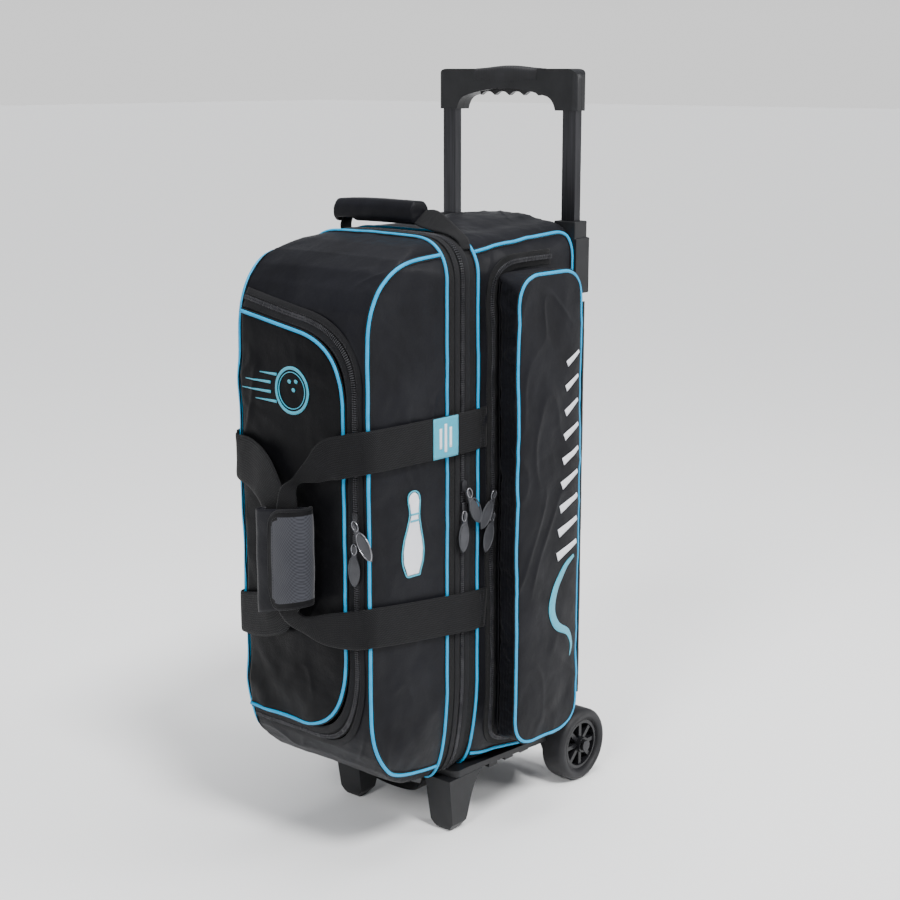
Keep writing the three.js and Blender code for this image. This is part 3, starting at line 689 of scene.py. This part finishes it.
def zip_row(name, line, outward, side, body, opens=None):
    """One row of zip teeth beside the line that the zip closes on, where it opens."""
    d = tangents(line, False)
    if opens is not None:
        line, outward, d = line[opens], outward[opens], d[opens]
    across = unit(np.cross(outward, d))
    centres = line + across * side * TOOTH_OFFSET * MM + outward * 0.7 * MM
    made = many(name, centres, d, outward, np.array(TOOTH) * MM, COIL, 0.7)
    return replaced(made, body, "zip_tape")


def stitches(name, line, up, body, slot="zip_tape", across=0.0):
    d = tangents(line, False)
    side = unit(np.cross(up, d))
    made = many(name, line + side * across * MM, d, up, np.array(STITCH) * MM, THREAD, 0.6)
    return replaced(made, body, slot)


def piping(name, line, up, body, closed=False):
    """Blue piping with the black seam allowance that it is sewn in with."""
    cord = swept(name, line, up, ring(CORD_RADIUS * MM), PIPING, closed)
    seam = swept(f"{name}_seam", line - up * 1.4 * MM, up, slab(9.0 * MM, 1.3 * MM), BINDING, closed)
    replaced(cord, body, "piping")
    replaced(seam, body, "shell_fabric")


for name, sign in (("body", 1), ("lid", -1)):
    line, outward = outline_line(3.2, sign * 15.7)
    band = swept(f"{name}_zip_band", line, outward, slab(30.4 * MM, 2.6 * MM, 0.3 * MM), TAPE, True)
    replaced(band, name, "zip_tape", f"{name}_zip_tape")
    line, outward = outline_line(0.7, sign * 9.2)
    flap = swept(f"{name}_zip_flap", line, outward, slab(11 * MM, 1.3 * MM, 0.4 * MM), BINDING, True)
    replaced(flap, name, "zip_tape")
    flat = even(bag_outline(0.3), TOOTH_PITCH, closed=True)
    opens = (flat[:, 0] > -108) | (flat[:, 1] < 118) | (flat[:, 1] > 764)
    line, outward = outline_line(0.3, 0, TOOTH_PITCH)
    zip_row(f"{name}_zip_teeth", line, outward, -sign, name, opens)
    for row, inset, y in (("inner", -0.4, 13.0), ("outer", 0.1, 23.5)):
        line, outward = outline_line(inset, sign * y, STITCH_PITCH)
        stitches(f"{name}_zip_stitch_{row}", line, outward, name)
    line, outward = outline_line(-0.6, sign * (BAND + 1.8))
    piping(f"{name}_ring_piping", line, outward, name, closed=True)

# the cloth hinge on the left, where the main zip has no teeth
HINGE_X = -118.4
heights = np.linspace(128, 756, 180)
flat = np.stack([np.zeros(len(heights)), heights], axis=1)
line = puff(at(side_plane(flat, HINGE_X)), ZIP_PUFF)
hinge = swept("lid_hinge_cloth", line, (-1.0, 0.0, 0.0), slab(17 * MM, 1.5 * MM, 0.3 * MM, 25), BINDING)
at((HINGE_X, 4, 440))
at((HINGE_X, -4, 440))
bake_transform(hinge)

# the door's zip follows the rolled front of the lid
ROLL = np.vstack([
    drawn((-28, 88), ((-68, 94),), ((-158, 106), (-163, 213))),
    drawn((-163, 686), ((-160, 778), (-28, 788))),
])


def lid_front(z):
    return np.interp(z, ROLL[:, 1], ROLL[:, 0])


def door_line(grow, lift, spacing=3.0):
    """A line round the door's opening in the lid, grow outside it, and its outward directions."""
    flat = even(door_outline(grow), spacing)
    y = lid_front(flat[:, 1]) - lift
    line = np.stack([flat[:, 0], y, flat[:, 1]], axis=1)
    slope = np.gradient(lid_front(flat[:, 1] + np.array([[-2.0], [2.0]])), axis=0)[0] / 4
    normal = unit(np.stack([np.zeros(len(flat)), -np.ones(len(flat)), slope], axis=1))
    return puff(at(line), DOOR_PUFF), normal


line, normal = door_line(11.6, -2.4)
band = swept("door_zip_band", line, normal, slab(22 * MM, 2.4 * MM), TAPE)
replaced(band, "lid", "zip_tape", "door_zip_tape")
for label, grow, width in (("inner", 8.4, 11.5), ("outer", 23.4, 10.0)):
    line, normal = door_line(grow, 0.4)
    flap = swept(f"door_zip_flap_{label}", line, normal, slab(width * MM, 1.2 * MM, 0.3 * MM), BINDING)
    replaced(flap, "lid", "zip_tape")
    line, normal = door_line(grow, 1.9, STITCH_PITCH)
    stitches(f"door_zip_stitch_{label}", line, normal, "lid", across=2.6)
line, normal = door_line(16.0, 0.8, TOOTH_PITCH)
zip_row("door_zip_teeth_inner", line, normal, -1, "lid")
zip_row("door_zip_teeth_outer", line, normal, 1, "lid")
line = puff(at(front_plane(even(door_outline(-0.6), 3.0), -166.6)), DOOR_PUFF)
piping("door_piping", line, np.tile((0.0, -1.0, 0.0), (len(line), 1)), "door")

# piping down the lid's front corners, and round the body's side panels
LID_SEAM = [
    (-34, 776), (-89, 771), (-133, 753), (-154, 726), (-162, 691), (-163.5, 620), (-164, 440),
    (-164, 260), (-163, 200), (-153, 163), (-131, 134), (-103, 117), (-62, 107), (-34, 104),
]
BODY_SEAM = [
    (32, 778), (74, 784), (130, 790), (180, 794), (208, 794), (222, 778), (224, 740), (224, 500),
    (224, 300), (224, 150),
]
LOW_SEAM = [(32, 98), (60, 93), (100, 87), (150, 80), (192, 79)]


def seam_piping(name, seam, side, x, outward, body, lift, relax):
    """Piping along a seam drawn as (y, z). outward is (share of x, middle y, y reach, z reach)."""
    flat = curve(seam)
    share, middle, reach_y, reach_z = outward
    hint = side_plane((flat - (middle, 440)) / (reach_y, reach_z), side * share)
    line, normal = on(at(side_plane(flat, side * x)), f"{body}_shell", lift, hint, relax)
    piping(name, line, normal, body)


LID_OUTWARD = (0.8, -60, 110, 600)
BODY_OUTWARD = (1.0, 130, 300, 500)
for side_name, side in SIDES:
    seam_piping(f"lid_corner_piping_{side_name}", LID_SEAM, side, 112, LID_OUTWARD, "lid", 1.3, 24)
    for label, seam in (("top", BODY_SEAM), ("low", LOW_SEAM)):
        seam_piping(f"body_{label}_piping_{side_name}", seam, side, 117.5, BODY_OUTWARD, "body", 1.0, 8)


# ------------ side pockets
def rounded(y0, y1, z0, z1, r):
    return drawn(
        (y0 + r, z0), ((y1 - r, z0),), ((y1, z0), (y1, z0 + r)), ((y1, z1 - r),), ((y1, z1), (y1 - r, z1)),
        ((y0 + r, z1),), ((y0, z1), (y0, z1 - r)), ((y0, z0 + r),), ((y0, z0), (y0 + r, z0)),
    )[:-1]


POCKET_X = 166
ZIP_PATH = [
    (176, 757), (112, 757), (86, 754), (66, 742), (58, 720), (57, 640), (57, 440),
    (57, 240), (58, 150), (66, 122), (86, 109), (112, 106), (176, 106),
]


def on_body_side(flat, side, lift):
    return on(at(side_plane(flat, side * HALF)), "body_shell", lift, (side, 0, 0))


for side_name, side in SIDES:
    pocket = f"pocket_{side_name}"
    flat = even(rounded(53.5, 183, 122, 743.5, 40), 3.0, closed=True)
    line = puff(at(side_plane(flat, side * (POCKET_X - 1.2))), 0.8)
    normal = np.tile((float(side), 0.0, 0.0), (len(line), 1))
    piping(f"pocket_piping_{side_name}", line, normal, pocket, closed=True)
    for label, sign, rides in (("front", -1, "body"), ("rear", 1, pocket)):
        path = curve(ZIP_PATH)
        d = tangents(path, False)
        path = path - np.stack([d[:, 1], -d[:, 0]], axis=1) * sign * 5.5
        line, normal = on_body_side(path, side, 0.2)
        tape = swept(f"pocket_tape_{label}_{side_name}", line, normal, slab(10.5 * MM, 1.2 * MM), TAPE)
        replaced(tape, rides, "zip_tape")
        line, normal = on_body_side(curve(ZIP_PATH, TOOTH_PITCH), side, 1.4)
        zip_row(f"pocket_teeth_{label}_{side_name}", line, normal, -sign * side, rides)
    line, normal = on_body_side(curve([(47, 716), (46, 440), (47, 150)], STITCH_PITCH), side, 0.3)
    stitches(f"pocket_zip_stitch_{side_name}", line, normal, "body")


# ------------ webbing straps
STRAP_WIDTH = 52
STRAP_THICK = 1.7
SIDE_X = [  # how far out the straps lie on the bag's side: (y, x)
    (46, 119.6), (34, 120.0), (14, 123.8), (-14, 124.6), (-50, 123.4), (-92, 122.2), (-128, 120.6),
    (-152, 118.6), (-163, 117.0),
]


def ribbon(name, edges, toward, body, material=WEB, slot="webbing", thick=STRAP_THICK, hidden=()):
    """Webbing drawn by its two edges: each row is one edge point and the opposite one."""
    rows = curve(np.array(edges, float).reshape(len(edges), 6), 5.0)
    first, second = at(rows[:, :3]), at(rows[:, 3:])
    line = (first + second) / 2
    across = unit(first - second)
    up = unit(np.cross(tangents(line, False), across))
    up *= np.sign((up @ np.array(toward, float)).mean())
    width = np.linalg.norm(first - second, axis=1) / (STRAP_WIDTH * MM)
    scale = np.stack([width, np.ones(len(rows))], axis=1)
    section = slab(STRAP_WIDTH * MM, thick * MM, 0.25 * MM, 13)
    made = swept(name, line - up * thick / 2 * MM, up, section, material, scale=scale)
    return replaced(made, body, slot, *hidden)


def side_run(side, start, end):
    """Edges along the bag's side, from its sewn end to the lid's corner."""
    rows = []
    for y, x in SIDE_X:
        t = float(np.interp(-y, (-46, 163), (0, 1)))
        low, high = (a + (b - a) * t for a, b in zip(start, end))
        rows.append([(side * x, y, high), (side * x, y, low)])
    return rows


# the right loop lies outside: it folds over itself where it turns into the wrap
RIGHT_UPPER = [
    [(112, -171.5, 577), (112, -171.5, 524)], [(103, -175.5, 575), (103, -175.5, 522)],
    [(88, -180, 571), (88, -178, 518)], [(63, -184, 563), (66, -184, 511)],
    [(46, -189, 541), (43, -188, 506)], [(20, -195, 514), (19, -191, 502)],
    [(-3, -199, 497), (20, -196, 489)], [(-10, -200, 478), (24, -199, 475)],
    [(-13, -200, 455), (24, -200, 450)], [(-13, -200, 410), (24, -200, 410)],
]
RIGHT_LOWER = [
    [(112, -171.5, 357), (112, -171.5, 306)], [(103, -175.5, 354), (103, -175.5, 304)],
    [(84, -181, 350), (84, -179, 301)], [(54, -186, 342), (53, -186, 302)],
    [(30, -192, 336), (27, -192, 312)], [(20, -196, 342), (2, -196, 320)],
    [(22, -199, 354), (-12, -199, 335)], [(24, -200, 372), (-14, -200, 366)],
    [(24, -200, 404), (-13, -200, 404)],
]
LEFT_UPPER = [
    [(-117, -162, 546), (-117, -162, 493)], [(-112, -171, 546), (-112, -171, 489)],
    [(-101, -175, 546), (-101, -175, 484)], [(-78, -178, 544), (-79, -180, 479)],
    [(-48, -185, 533), (-56, -187, 470)], [(-16, -191, 503), (-44, -191, 458)],
    [(-2, -193, 478), (-36, -193, 440)], [(4, -194, 440), (-32, -194, 410)],
]
LEFT_LOWER = [
    [(-117, -162, 335), (-117, -162, 283)], [(-112, -171, 336), (-112, -171, 282)],
    [(-101, -175, 338), (-101, -175, 282)], [(-78, -179, 343), (-76, -180, 284)],
    [(-56, -185, 351), (-39, -186, 293)], [(-42, -189, 364), (-8, -190, 309)],
    [(-36, -193, 385), (4, -193, 345)], [(-32, -194, 410), (5, -194, 380)],
]
SEWN = {"upper": (523, 577), "lower": (282, 336)}  # bottom and top of each sewn end
for label, corner, rest in (("upper", (525, 578), RIGHT_UPPER), ("lower", (306, 358), RIGHT_LOWER)):
    edges = side_run(1, SEWN[label], corner) + rest
    ribbon(f"right_loop_{label}", edges, (1, -1, 0), "right_loop", hidden=("right_loop",))
for label, edges in (("upper", LEFT_UPPER), ("lower", LEFT_LOWER)):
    ribbon(f"left_loop_{label}", edges, (-0.5, -1, 0), "left_loop", hidden=("left_loop",))
for label, low, high in (("upper", 495, 548), ("lower", 283, 335)):
    edges = side_run(-1, SEWN[label], (low, high)) + [[(-116, -167, high), (-116, -167, low)]]
    strap = ribbon(f"left_side_strap_{label}", edges, (-1, 0, 0), "lid", hidden=(f"left_strap_{label}",))
    strap.parent = None
    level = sum(SEWN[label]) / 2
    at((-120, 36, level))
    at((-120, -24, level))
    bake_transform(strap)

# box stitching where the side straps are sewn to the bag: two edges and a cross
BOX_Y = (41, 33)
BOX_HALF = 22
for side_name, side in SIDES:
    for label, level in (("upper", 548), ("lower", 310)):
        for part, (first, last) in zip("abcd", ((0, 0), (1, 1), (0, 1), (1, 0))):
            ends = [(BOX_Y[first], level - BOX_HALF), (BOX_Y[last], level + BOX_HALF)]
            line = at(side_plane(even(ends, 3.6), side * 121.2))
            up = np.tile((float(side), 0, 0), (len(line), 1))
            stitches(f"strap_stitch_{side_name}_{label}_{part}", line, up, "body", "webbing")


# woven label on the right upper strap
def over_strap(y, z, lift):
    return (float(np.interp(-y, [-a for a, _ in SIDE_X], [b for _, b in SIDE_X])) + lift, y, z)


LABEL_Z = 550.5
edges = [[over_strap(y, LABEL_Z + 26, 1.7), over_strap(y, LABEL_Z - 26, 1.7)] for y in (-17, -30, -46, -62)]
ribbon("strap_label", edges, (1, 0, 0), "right_loop", BLUE_THREAD, "piping", 0.8)
for k, reach in enumerate((13, 18, 13)):
    y = -29 - 9 * k
    heights = (550 - reach, 550, 550 + reach)
    edges = [[over_strap(y, z, 2.4), over_strap(y - 4.5, z, 2.4)] for z in heights]
    ribbon(f"strap_label_bar_{k}", edges, (1, 0, 0), "right_loop", WHITE_THREAD, "piping", 0.6)


# ------------ padded wrap of the carry handle
def cloth_grid(name, points, material, thick, body, slot, hidden=(), border=None):
    """A cloth panel from rows of points, given its thickness. border is (edge points, width, material)."""
    rows, cols = points.shape[:2]
    faces = [
        (r * cols + c, r * cols + c + 1, (r + 1) * cols + c + 1, (r + 1) * cols + c)
        for r in range(rows - 1) for c in range(cols - 1)
    ]
    made = build(name, points.reshape(-1, 3), faces, material)
    if border:
        edge_points, width, trim = border
        made.data.materials.append(trim)
        for face in made.data.polygons:
            near = np.linalg.norm(edge_points - np.array(face.center), axis=1).min()
            face.material_index = int(near < width)
    thicken = made.modifiers.new("thick", "SOLIDIFY")
    thicken.thickness = thick * MM
    thicken.offset = 0
    finished(made)
    made.data.polygons.foreach_set("use_smooth", [True] * len(made.data.polygons))
    return replaced(made, body, slot, *hidden)


WRAP_TALL = 131
WRAP_Z = 406.5


def wrap_panel(plan, trim, corner, lift, crown, wave=0.0):
    """Rows of points of a panel that follows plan (x, y), with its first corners rounded."""
    plan = curve(plan, 2.5)
    run = run_of(plan)
    d = tangents(plan, False)
    out = np.stack([d[:, 1], -d[:, 0]], axis=1)
    v = np.linspace(-1, 1, 37)
    rows = []
    for (x, y), s, n in zip(plan, run, out):
        near = max(corner - s, 0.0)
        cut = corner - math.sqrt(max(corner**2 - near**2, 0.0))
        half = (WRAP_TALL - 0.12 * x) / 2 - trim - cut
        share = math.sin(math.pi * min(1.0, s / run[-1])) ** 0.6
        puffed = lift + crown * share * (1 - np.abs(v) ** 3) + wave * share * np.sin(v * 7.0 + s * 0.05)
        z = WRAP_Z + 0.22 * x + v * half
        rows.append(np.stack([x + n[0] * puffed, y + n[1] * puffed, z], axis=1))
    return np.array(rows)


UNDER_PLAN = [(-38, -189), (-42, -198), (-38, -207), (-26, -210), (20, -210), (38, -207)]
REAR_PLAN = [(-38, -189), (-20, -187), (20, -187), (38, -188)]
FLAP_PLAN = [(-12, -212.8), (4, -214.4), (26, -213.6), (38, -208.5), (42.5, -200), (40.5, -191), (34, -187.2)]


def free_edge(panel):
    """The panel's top, front and bottom edges, as one line."""
    return np.vstack([panel[::-1, 0], panel[0, 1:-1], panel[:, -1]])


under = at(wrap_panel(UNDER_PLAN, 1, 0, 0.0, 0.8, 0.4))
under = cloth_grid("wrap_under", under, CLOTH, 3.6, "left_loop", "wrap_fabric", ("handle_wrap",))
rear = at(wrap_panel(REAR_PLAN, 3, 0, 0.0, -0.5))
cloth_grid("wrap_rear", rear, CLOTH, 3.0, "left_loop", "wrap_fabric")
panel = wrap_panel(FLAP_PLAN, 3, 23, 0.0, 2.2, 0.5)
edge = free_edge(panel)
border = (at(edge), 8.0 * MM, BINDING)
flap = cloth_grid("wrap_flap", at(panel), GREY, 3.6, "left_loop", "wrap_fabric", border=border)
edge = curve(edge[::4], 3.0)
edge_up = np.tile((0.0, -1.0, 0.0), (len(edge), 1))
edge_up[edge[:, 0] > 36] = (1.0, -0.1, 0.0)
for _ in range(6):
    edge_up[1:-1] = unit(edge_up[:-2] + edge_up[1:-1] + edge_up[2:])
binding = swept("wrap_binding", at(edge), edge_up, ring(2.5 * MM), BINDING)
replaced(binding, "left_loop", "wrap_fabric")
inner = wrap_panel(FLAP_PLAN, 10, 17, 2.0, 2.0, 0.5)[4:-6]
seam = curve(free_edge(inner)[::4], 3.6)
stitches("wrap_stitch", at(seam), np.tile((0.0, -1.0, 0.0), (len(seam), 1)), "left_loop", "wrap_fabric")


# ------------ grab handles
GRAB_WEB = [
    [(-98, 30, 786), (-98, 10, 786)], [(-100, 31, 798), (-100, 10, 797)], [(-92, 31, 810), (-92, 10, 809)],
    [(-70, 31, 815), (-70, 10, 814)], [(0, 31, 815), (0, 10, 814)], [(20, 32, 818), (20, 10, 808)],
    [(44, 33, 822), (44, 8, 801)], [(66, 31, 813), (66, 8, 797)], [(88, 30, 800), (84, 10, 795)],
    [(104, 29, 788), (98, 12, 789)], [(109, 27, 776), (105, 13, 778)],
]
ribbon("grab_strap", GRAB_WEB, (0.3, -0.2, 1), "grab_handle", thick=2.0, hidden=("grab_webbing",))
LOW_WEB = [(-55, 84), (-54, 72), (-49, 57), (-36, 46), (0, 42.5), (36, 46), (49, 57), (54, 72), (55, 84)]
edges = [[(x, -6, z), (x, 20, z)] for x, z in LOW_WEB]
ribbon("bottom_strap", edges, (0, 0, -1), "bottom_handle", hidden=("bottom_handle",))


# ------------ embroidery, all of it plain bowling motifs
THREAD_STEP = 1.6


# A ground is a cloth face that carries embroidery: its CAD node, its body, its outward direction
# and the function that puts a drawing on the plane in front of it.
def satin(name, path, ground, width, material, closed=False, lift=0.2, scale=None):
    """A band of satin stitch along a drawn line."""
    node, body, outward, plane = ground
    line, normal = on(at(plane(even(path, THREAD_STEP, closed))), node, lift, outward)
    made = swept(name, line, normal, slab(width * MM, 0.7 * MM, 0.35 * MM, 5), material, closed, scale)
    return replaced(made, body, "piping")


def tapered(name, path, ground, width, material, shares):
    """Satin stitch whose width follows shares from one end to the other."""
    count = len(even(path, THREAD_STEP))
    share = np.interp(np.linspace(0, 1, count), np.linspace(0, 1, len(shares)), shares)
    return satin(name, path, ground, width, material, scale=share)


# a rolling ball with its three finger holes
DOOR_FACE = ("shoe_door", "door", (0, -1, 0), lambda flat: front_plane(flat, -168))
BALL_X = -8
BALL_Z = 612
for k, (radius, width) in enumerate(((28, 4.6), (23, 1.6))):
    satin(f"emblem_ball_{k}", ring(radius, 64, (BALL_X, BALL_Z)), DOOR_FACE, width, BLUE_THREAD, True)
for k, (dx, dz) in enumerate(((-5, 11), (6.5, 12), (2, 1))):
    satin(f"emblem_hole_{k}", ring(2.2, 24, (BALL_X + dx, BALL_Z + dz)), DOOR_FACE, 3.6, BLUE_THREAD, True)
for k, (dz, start, end) in enumerate(((17, -27, -58), (6, -38, -84), (-6, -38, -92), (-17, -27, -66))):
    streak = np.array([(BALL_X + start, BALL_Z + dz), (BALL_X + end, BALL_Z + dz)])
    tapered(f"emblem_streak_{k}", streak, DOOR_FACE, 4.2, BLUE_THREAD, (1.0, 0.25))

# a bowling pin on the lid's right side: its half width against its height, as shares
PIN = [
    (0.0, 0.30), (0.06, 0.36), (0.16, 0.47), (0.30, 0.50), (0.44, 0.42), (0.58, 0.27), (0.70, 0.18),
    (0.80, 0.19), (0.90, 0.24), (0.97, 0.19), (1.0, 0.06),
]
PIN_Y = -91
PIN_Z = 384
PIN_TALL = 104
PIN_WIDE = 34
PIN_EDGE = 2.0
LID_SIDE_X = 118.5
LID_SIDE = ("lid_shell", "lid", (1, 0, 0), lambda flat: side_plane(flat, LID_SIDE_X))

rows, cols = 60, 13
heights = np.linspace(0, 1, rows)
halves = np.interp(heights, *zip(*PIN)) * PIN_WIDE
across = np.linspace(-halves, halves, cols, axis=1)
flat = np.stack([PIN_Y + across, np.tile((PIN_Z + heights * PIN_TALL)[:, None], cols)], axis=2)
placed, _ = on(at(side_plane(flat.reshape(-1, 2), LID_SIDE_X)), "lid_shell", 0.75, (1, 0, 0), 0)
cloth_grid("lid_pin_0", placed.reshape(rows, cols, 3), WHITE_THREAD, 0.7, "lid", "piping")

grown = np.array(PIN) * (PIN_TALL + 2 * PIN_EDGE, PIN_WIDE) + (PIN_Z - PIN_EDGE, PIN_EDGE)
z, half = curve(grown, 2.0).T
outline = np.stack([np.concatenate([PIN_Y + half, PIN_Y - half[::-1]]), np.concatenate([z, z[::-1]])], axis=1)
satin("lid_pin_edge_0", outline, LID_SIDE, 2.6, BLUE_THREAD, True)
for k, share in enumerate((0.66, 0.745)):
    z = PIN_Z + PIN_TALL * share
    collar = np.array([(PIN_Y - 0.2 * PIN_WIDE, z), (PIN_Y + 0.2 * PIN_WIDE, z)])
    satin(f"lid_pin_collar_0_{k}", collar, LID_SIDE, 3.0, BLUE_THREAD, lift=1.0)

# slanted bars over a curved ribbon on each pocket
BARS = 9
RIBBON = [(170, 362), (150, 350), (128, 322), (122, 296), (134, 272), (158, 258), (168, 240), (166, 222)]
ribbon_line = curve(RIBBON, 2.0)
ribbon_share = np.sin(np.linspace(0.25, math.pi - 0.05, len(even(ribbon_line, THREAD_STEP)))) ** 0.7
for side_name, side in SIDES:
    face = (
        f"pocket_cover_{side_name}", f"pocket_{side_name}", (side, 0, 0),
        lambda flat, side=side: side_plane(flat, side * 168),
    )
    for k in range(BARS):
        z = 372 + 32 * k
        bar = np.array([(132 + 2.2 * k, z - 5), (176, z + 9)])
        tapered(f"pocket_bar_{side_name}_{k}", bar, face, 13 - 0.5 * k, WHITE_THREAD, (1.0, 0.55))
    satin(f"pocket_ribbon_{side_name}", ribbon_line, face, 13, BLUE_THREAD, scale=ribbon_share)


# ------------ hard parts
FINISH = {
    "axle_carrier": PLASTIC, "axle": TUBE, "wheel_tyre": TYRE, "wheel_hub": GLOSSY, "outer_tube": TUBE,
    "inner_tube": TUBE, "release_trigger": GLOSSY, "back_board": BOARD,
}
ROUND = {  # bevels, in millimetres
    "wheel_tyre": 0.0, "axle": 0.4, "outer_tube": 0.5, "inner_tube": 0.5, "back_board": 0.6,
    "release_trigger": 0.6,
}


def looked_up(table, name, otherwise):
    """The value for the first key that the node's name starts with."""
    return next((value for key, value in table.items() if name.startswith(key)), otherwise)


def finish(name, cad):
    small = "slider" in name or "pull" in name
    material = looked_up(FINISH, name, SLIDER if "slider" in name else LEAF if small else PLASTIC)
    cad.data.materials.clear()
    cad.data.materials.append(material)
    width = looked_up(ROUND, name, 0.5 if small else 1.3)
    weld = cad.modifiers.new("weld", "WELD")
    weld.merge_threshold = 0.02 * MM
    if width:
        bevel = cad.modifiers.new("bevel", "BEVEL")
        bevel.width = width * MM
        bevel.segments = 2
        bevel.limit_method = "ANGLE"
        bevel.angle_limit = math.radians(40)
        bevel.harden_normals = False
    cad.data.polygons.foreach_set("use_smooth", [True] * len(cad.data.polygons))
    normals = cad.modifiers.new("normals", "WEIGHTED_NORMAL")
    normals.keep_sharp = True


for name, cad in nodes.items():
    if not cad.hide_render:
        finish(name, cad)

# the ribbed soft sleeve on the grip
RIB_PITCH = 4.6
RIB_REACH = 49
low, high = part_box("grip_overmould")
along = np.linspace(low.x - 0.5 * MM, high.x + 0.5 * MM, 331)
half_depth = (high.y - low.y) / 2 + 0.7 * MM
crown = 0.5 * (1 + np.cos(np.clip(along / high.x, -1, 1) * np.pi))
line = np.zeros((len(along), 3)) + (0, (low.y + high.y) / 2, low.z - 3.0 * MM)
line[:, 0] = along
section = ring(1.0, 40)
section = np.sign(section) * np.abs(section) ** 0.45 * (half_depth, 9.2 * MM)
ribs = 1 + 0.035 * np.cos(along / (RIB_PITCH * MM) * 2 * np.pi) * (np.abs(along) < RIB_REACH * MM)
scale = np.stack([0.97 + 0.03 * ribs, (1 + 0.36 * crown) * ribs], axis=1)
sleeve = swept("grip_sleeve", line, (0.0, 0.0, 1.0), section, SOFT_GRIP, scale=scale)
replaced(sleeve, "handle", "grip_rubber", "grip_overmould")

# zip pulls: a wire ring through the slider's bridge, and a raised rim round the moulded leaf
LEAF_SHAPE = [(4, 15), (8.4, 25), (8.8, 34), (6, 44), (0, 50), (-6, 44), (-8.8, 34), (-8.4, 25), (-4, 15)]
RING_SIZE = (4.4, 6.5)


def pull_wire(name, part, drawing, middle, axes, material, radius):
    """A wire round a drawing of (across, down) points, in millimetres from middle."""
    across, down, outward = axes
    line = middle + np.outer(drawing[:, 0] * MM, across) + np.outer(drawing[:, 1] * MM, down)
    up = np.tile(outward, (len(line), 1))
    replaced(swept(f"{name}_{part}", line, up, ring(radius * MM, 8), material, True), name, "pull_metal")


for name in [n for n in nodes if "_pull_" in n]:
    co = np.array([v.co for v in nodes[name].data.vertices])
    top = co[np.argsort(co[:, 2])[-4:]].mean(0)
    tip = co[np.argmin(co[:, 2])]
    centre = co.mean(0)
    outward = np.array((0, -1.0, 0)) if name.startswith("door") else np.array((np.sign(centre[0]), 0.0, 0.0))
    down = unit((tip - top) * (np.abs(outward) < 0.5))
    axes = (unit(np.cross(outward, down)), down, outward)
    bar = top + down * 4 * MM
    middle = bar + outward * (0.6 * MM + (centre - bar) @ outward)
    pull_wire(name, "ring", ring(1.0, 28) * RING_SIZE, middle, axes, GUNMETAL, 0.8)
    middle = top + outward * (0.9 * MM + (centre - top) @ outward)
    rim = GUNMETAL if name == "door_pull_upper" else LEAF
    pull_wire(name, "rim", curve(LEAF_SHAPE, 1.5, closed=True), middle, axes, rim, 0.9)


# ------------ stage, light and camera
FLOOR = 40.0
pale = Nodes("pale floor", (0.86, 0.86, 0.86), 0.7)
pale.gloss(pale.noise(3.0), 0.6, 0.75)
corners = [(-FLOOR, -FLOOR, 0), (FLOOR, -FLOOR, 0), (FLOOR, FLOOR, 0), (-FLOOR, FLOOR, 0)]
floor = build("floor", corners, [(0, 1, 2, 3)], pale.material, smooth=False)
floor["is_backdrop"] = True

world = bpy.data.worlds.new("studio")
world.use_nodes = True
tree = world.node_tree
height = tree.nodes.new("ShaderNodeSeparateXYZ")
sky = tree.nodes.new("ShaderNodeValToRGB")
for stop, position, value in zip(sky.color_ramp.elements, (0.03, 0.3), ((1.1, 1.1, 1.1), (0.32, 0.33, 0.35))):
    stop.position = position
    stop.color = colour(value)
tree.links.new(tree.nodes.new("ShaderNodeTexCoord").outputs["Generated"], height.inputs["Vector"])
tree.links.new(height.outputs["Z"], sky.inputs["Fac"])
tree.links.new(sky.outputs["Color"], tree.nodes["Background"].inputs["Color"])
bpy.context.scene.world = world


def lamp(name, kind, place, aim, power, size):
    """size is a sun's angle in degrees, or an area lamp's width in metres."""
    data = bpy.data.lights.new(name, kind)
    data.energy = power
    if kind == "SUN":
        data.angle = math.radians(size)
    else:
        data.size = size
    made = bpy.data.objects.new(name, data)
    made.location = place
    made.rotation_euler = (Vector(aim) - Vector(place)).to_track_quat("-Z", "Y").to_euler()
    bpy.context.scene.collection.objects.link(made)


lamp("key", "SUN", (1.9, -0.5, 2.6), (0, 0, 0), 3.4, 14)
lamp("fill", "SUN", (0.7, -2.4, 1.7), (0, 0, 0), 1.9, 16)
lamp("top", "AREA", (0.1, 0.1, 2.7), (0, 0, 0.6), 55, 1.4)
lamp("rim", "AREA", (2.3, 1.6, 1.7), (0, 0, 0.55), 45, 0.9)

CAMERA_DOWN = 12.57  # degrees below the horizon
CAMERA_ROUND = 40.73  # degrees round from looking along +Y
camera = bpy.data.objects.new("camera", bpy.data.cameras.new("camera"))
camera.data.lens = 68.29
camera.location = (1.477, -1.6533, 0.9951)
camera.rotation_euler = (math.radians(90 - CAMERA_DOWN), 0, math.radians(CAMERA_ROUND))
bpy.context.scene.collection.objects.link(camera)
bpy.context.scene.camera = camera

low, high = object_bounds()
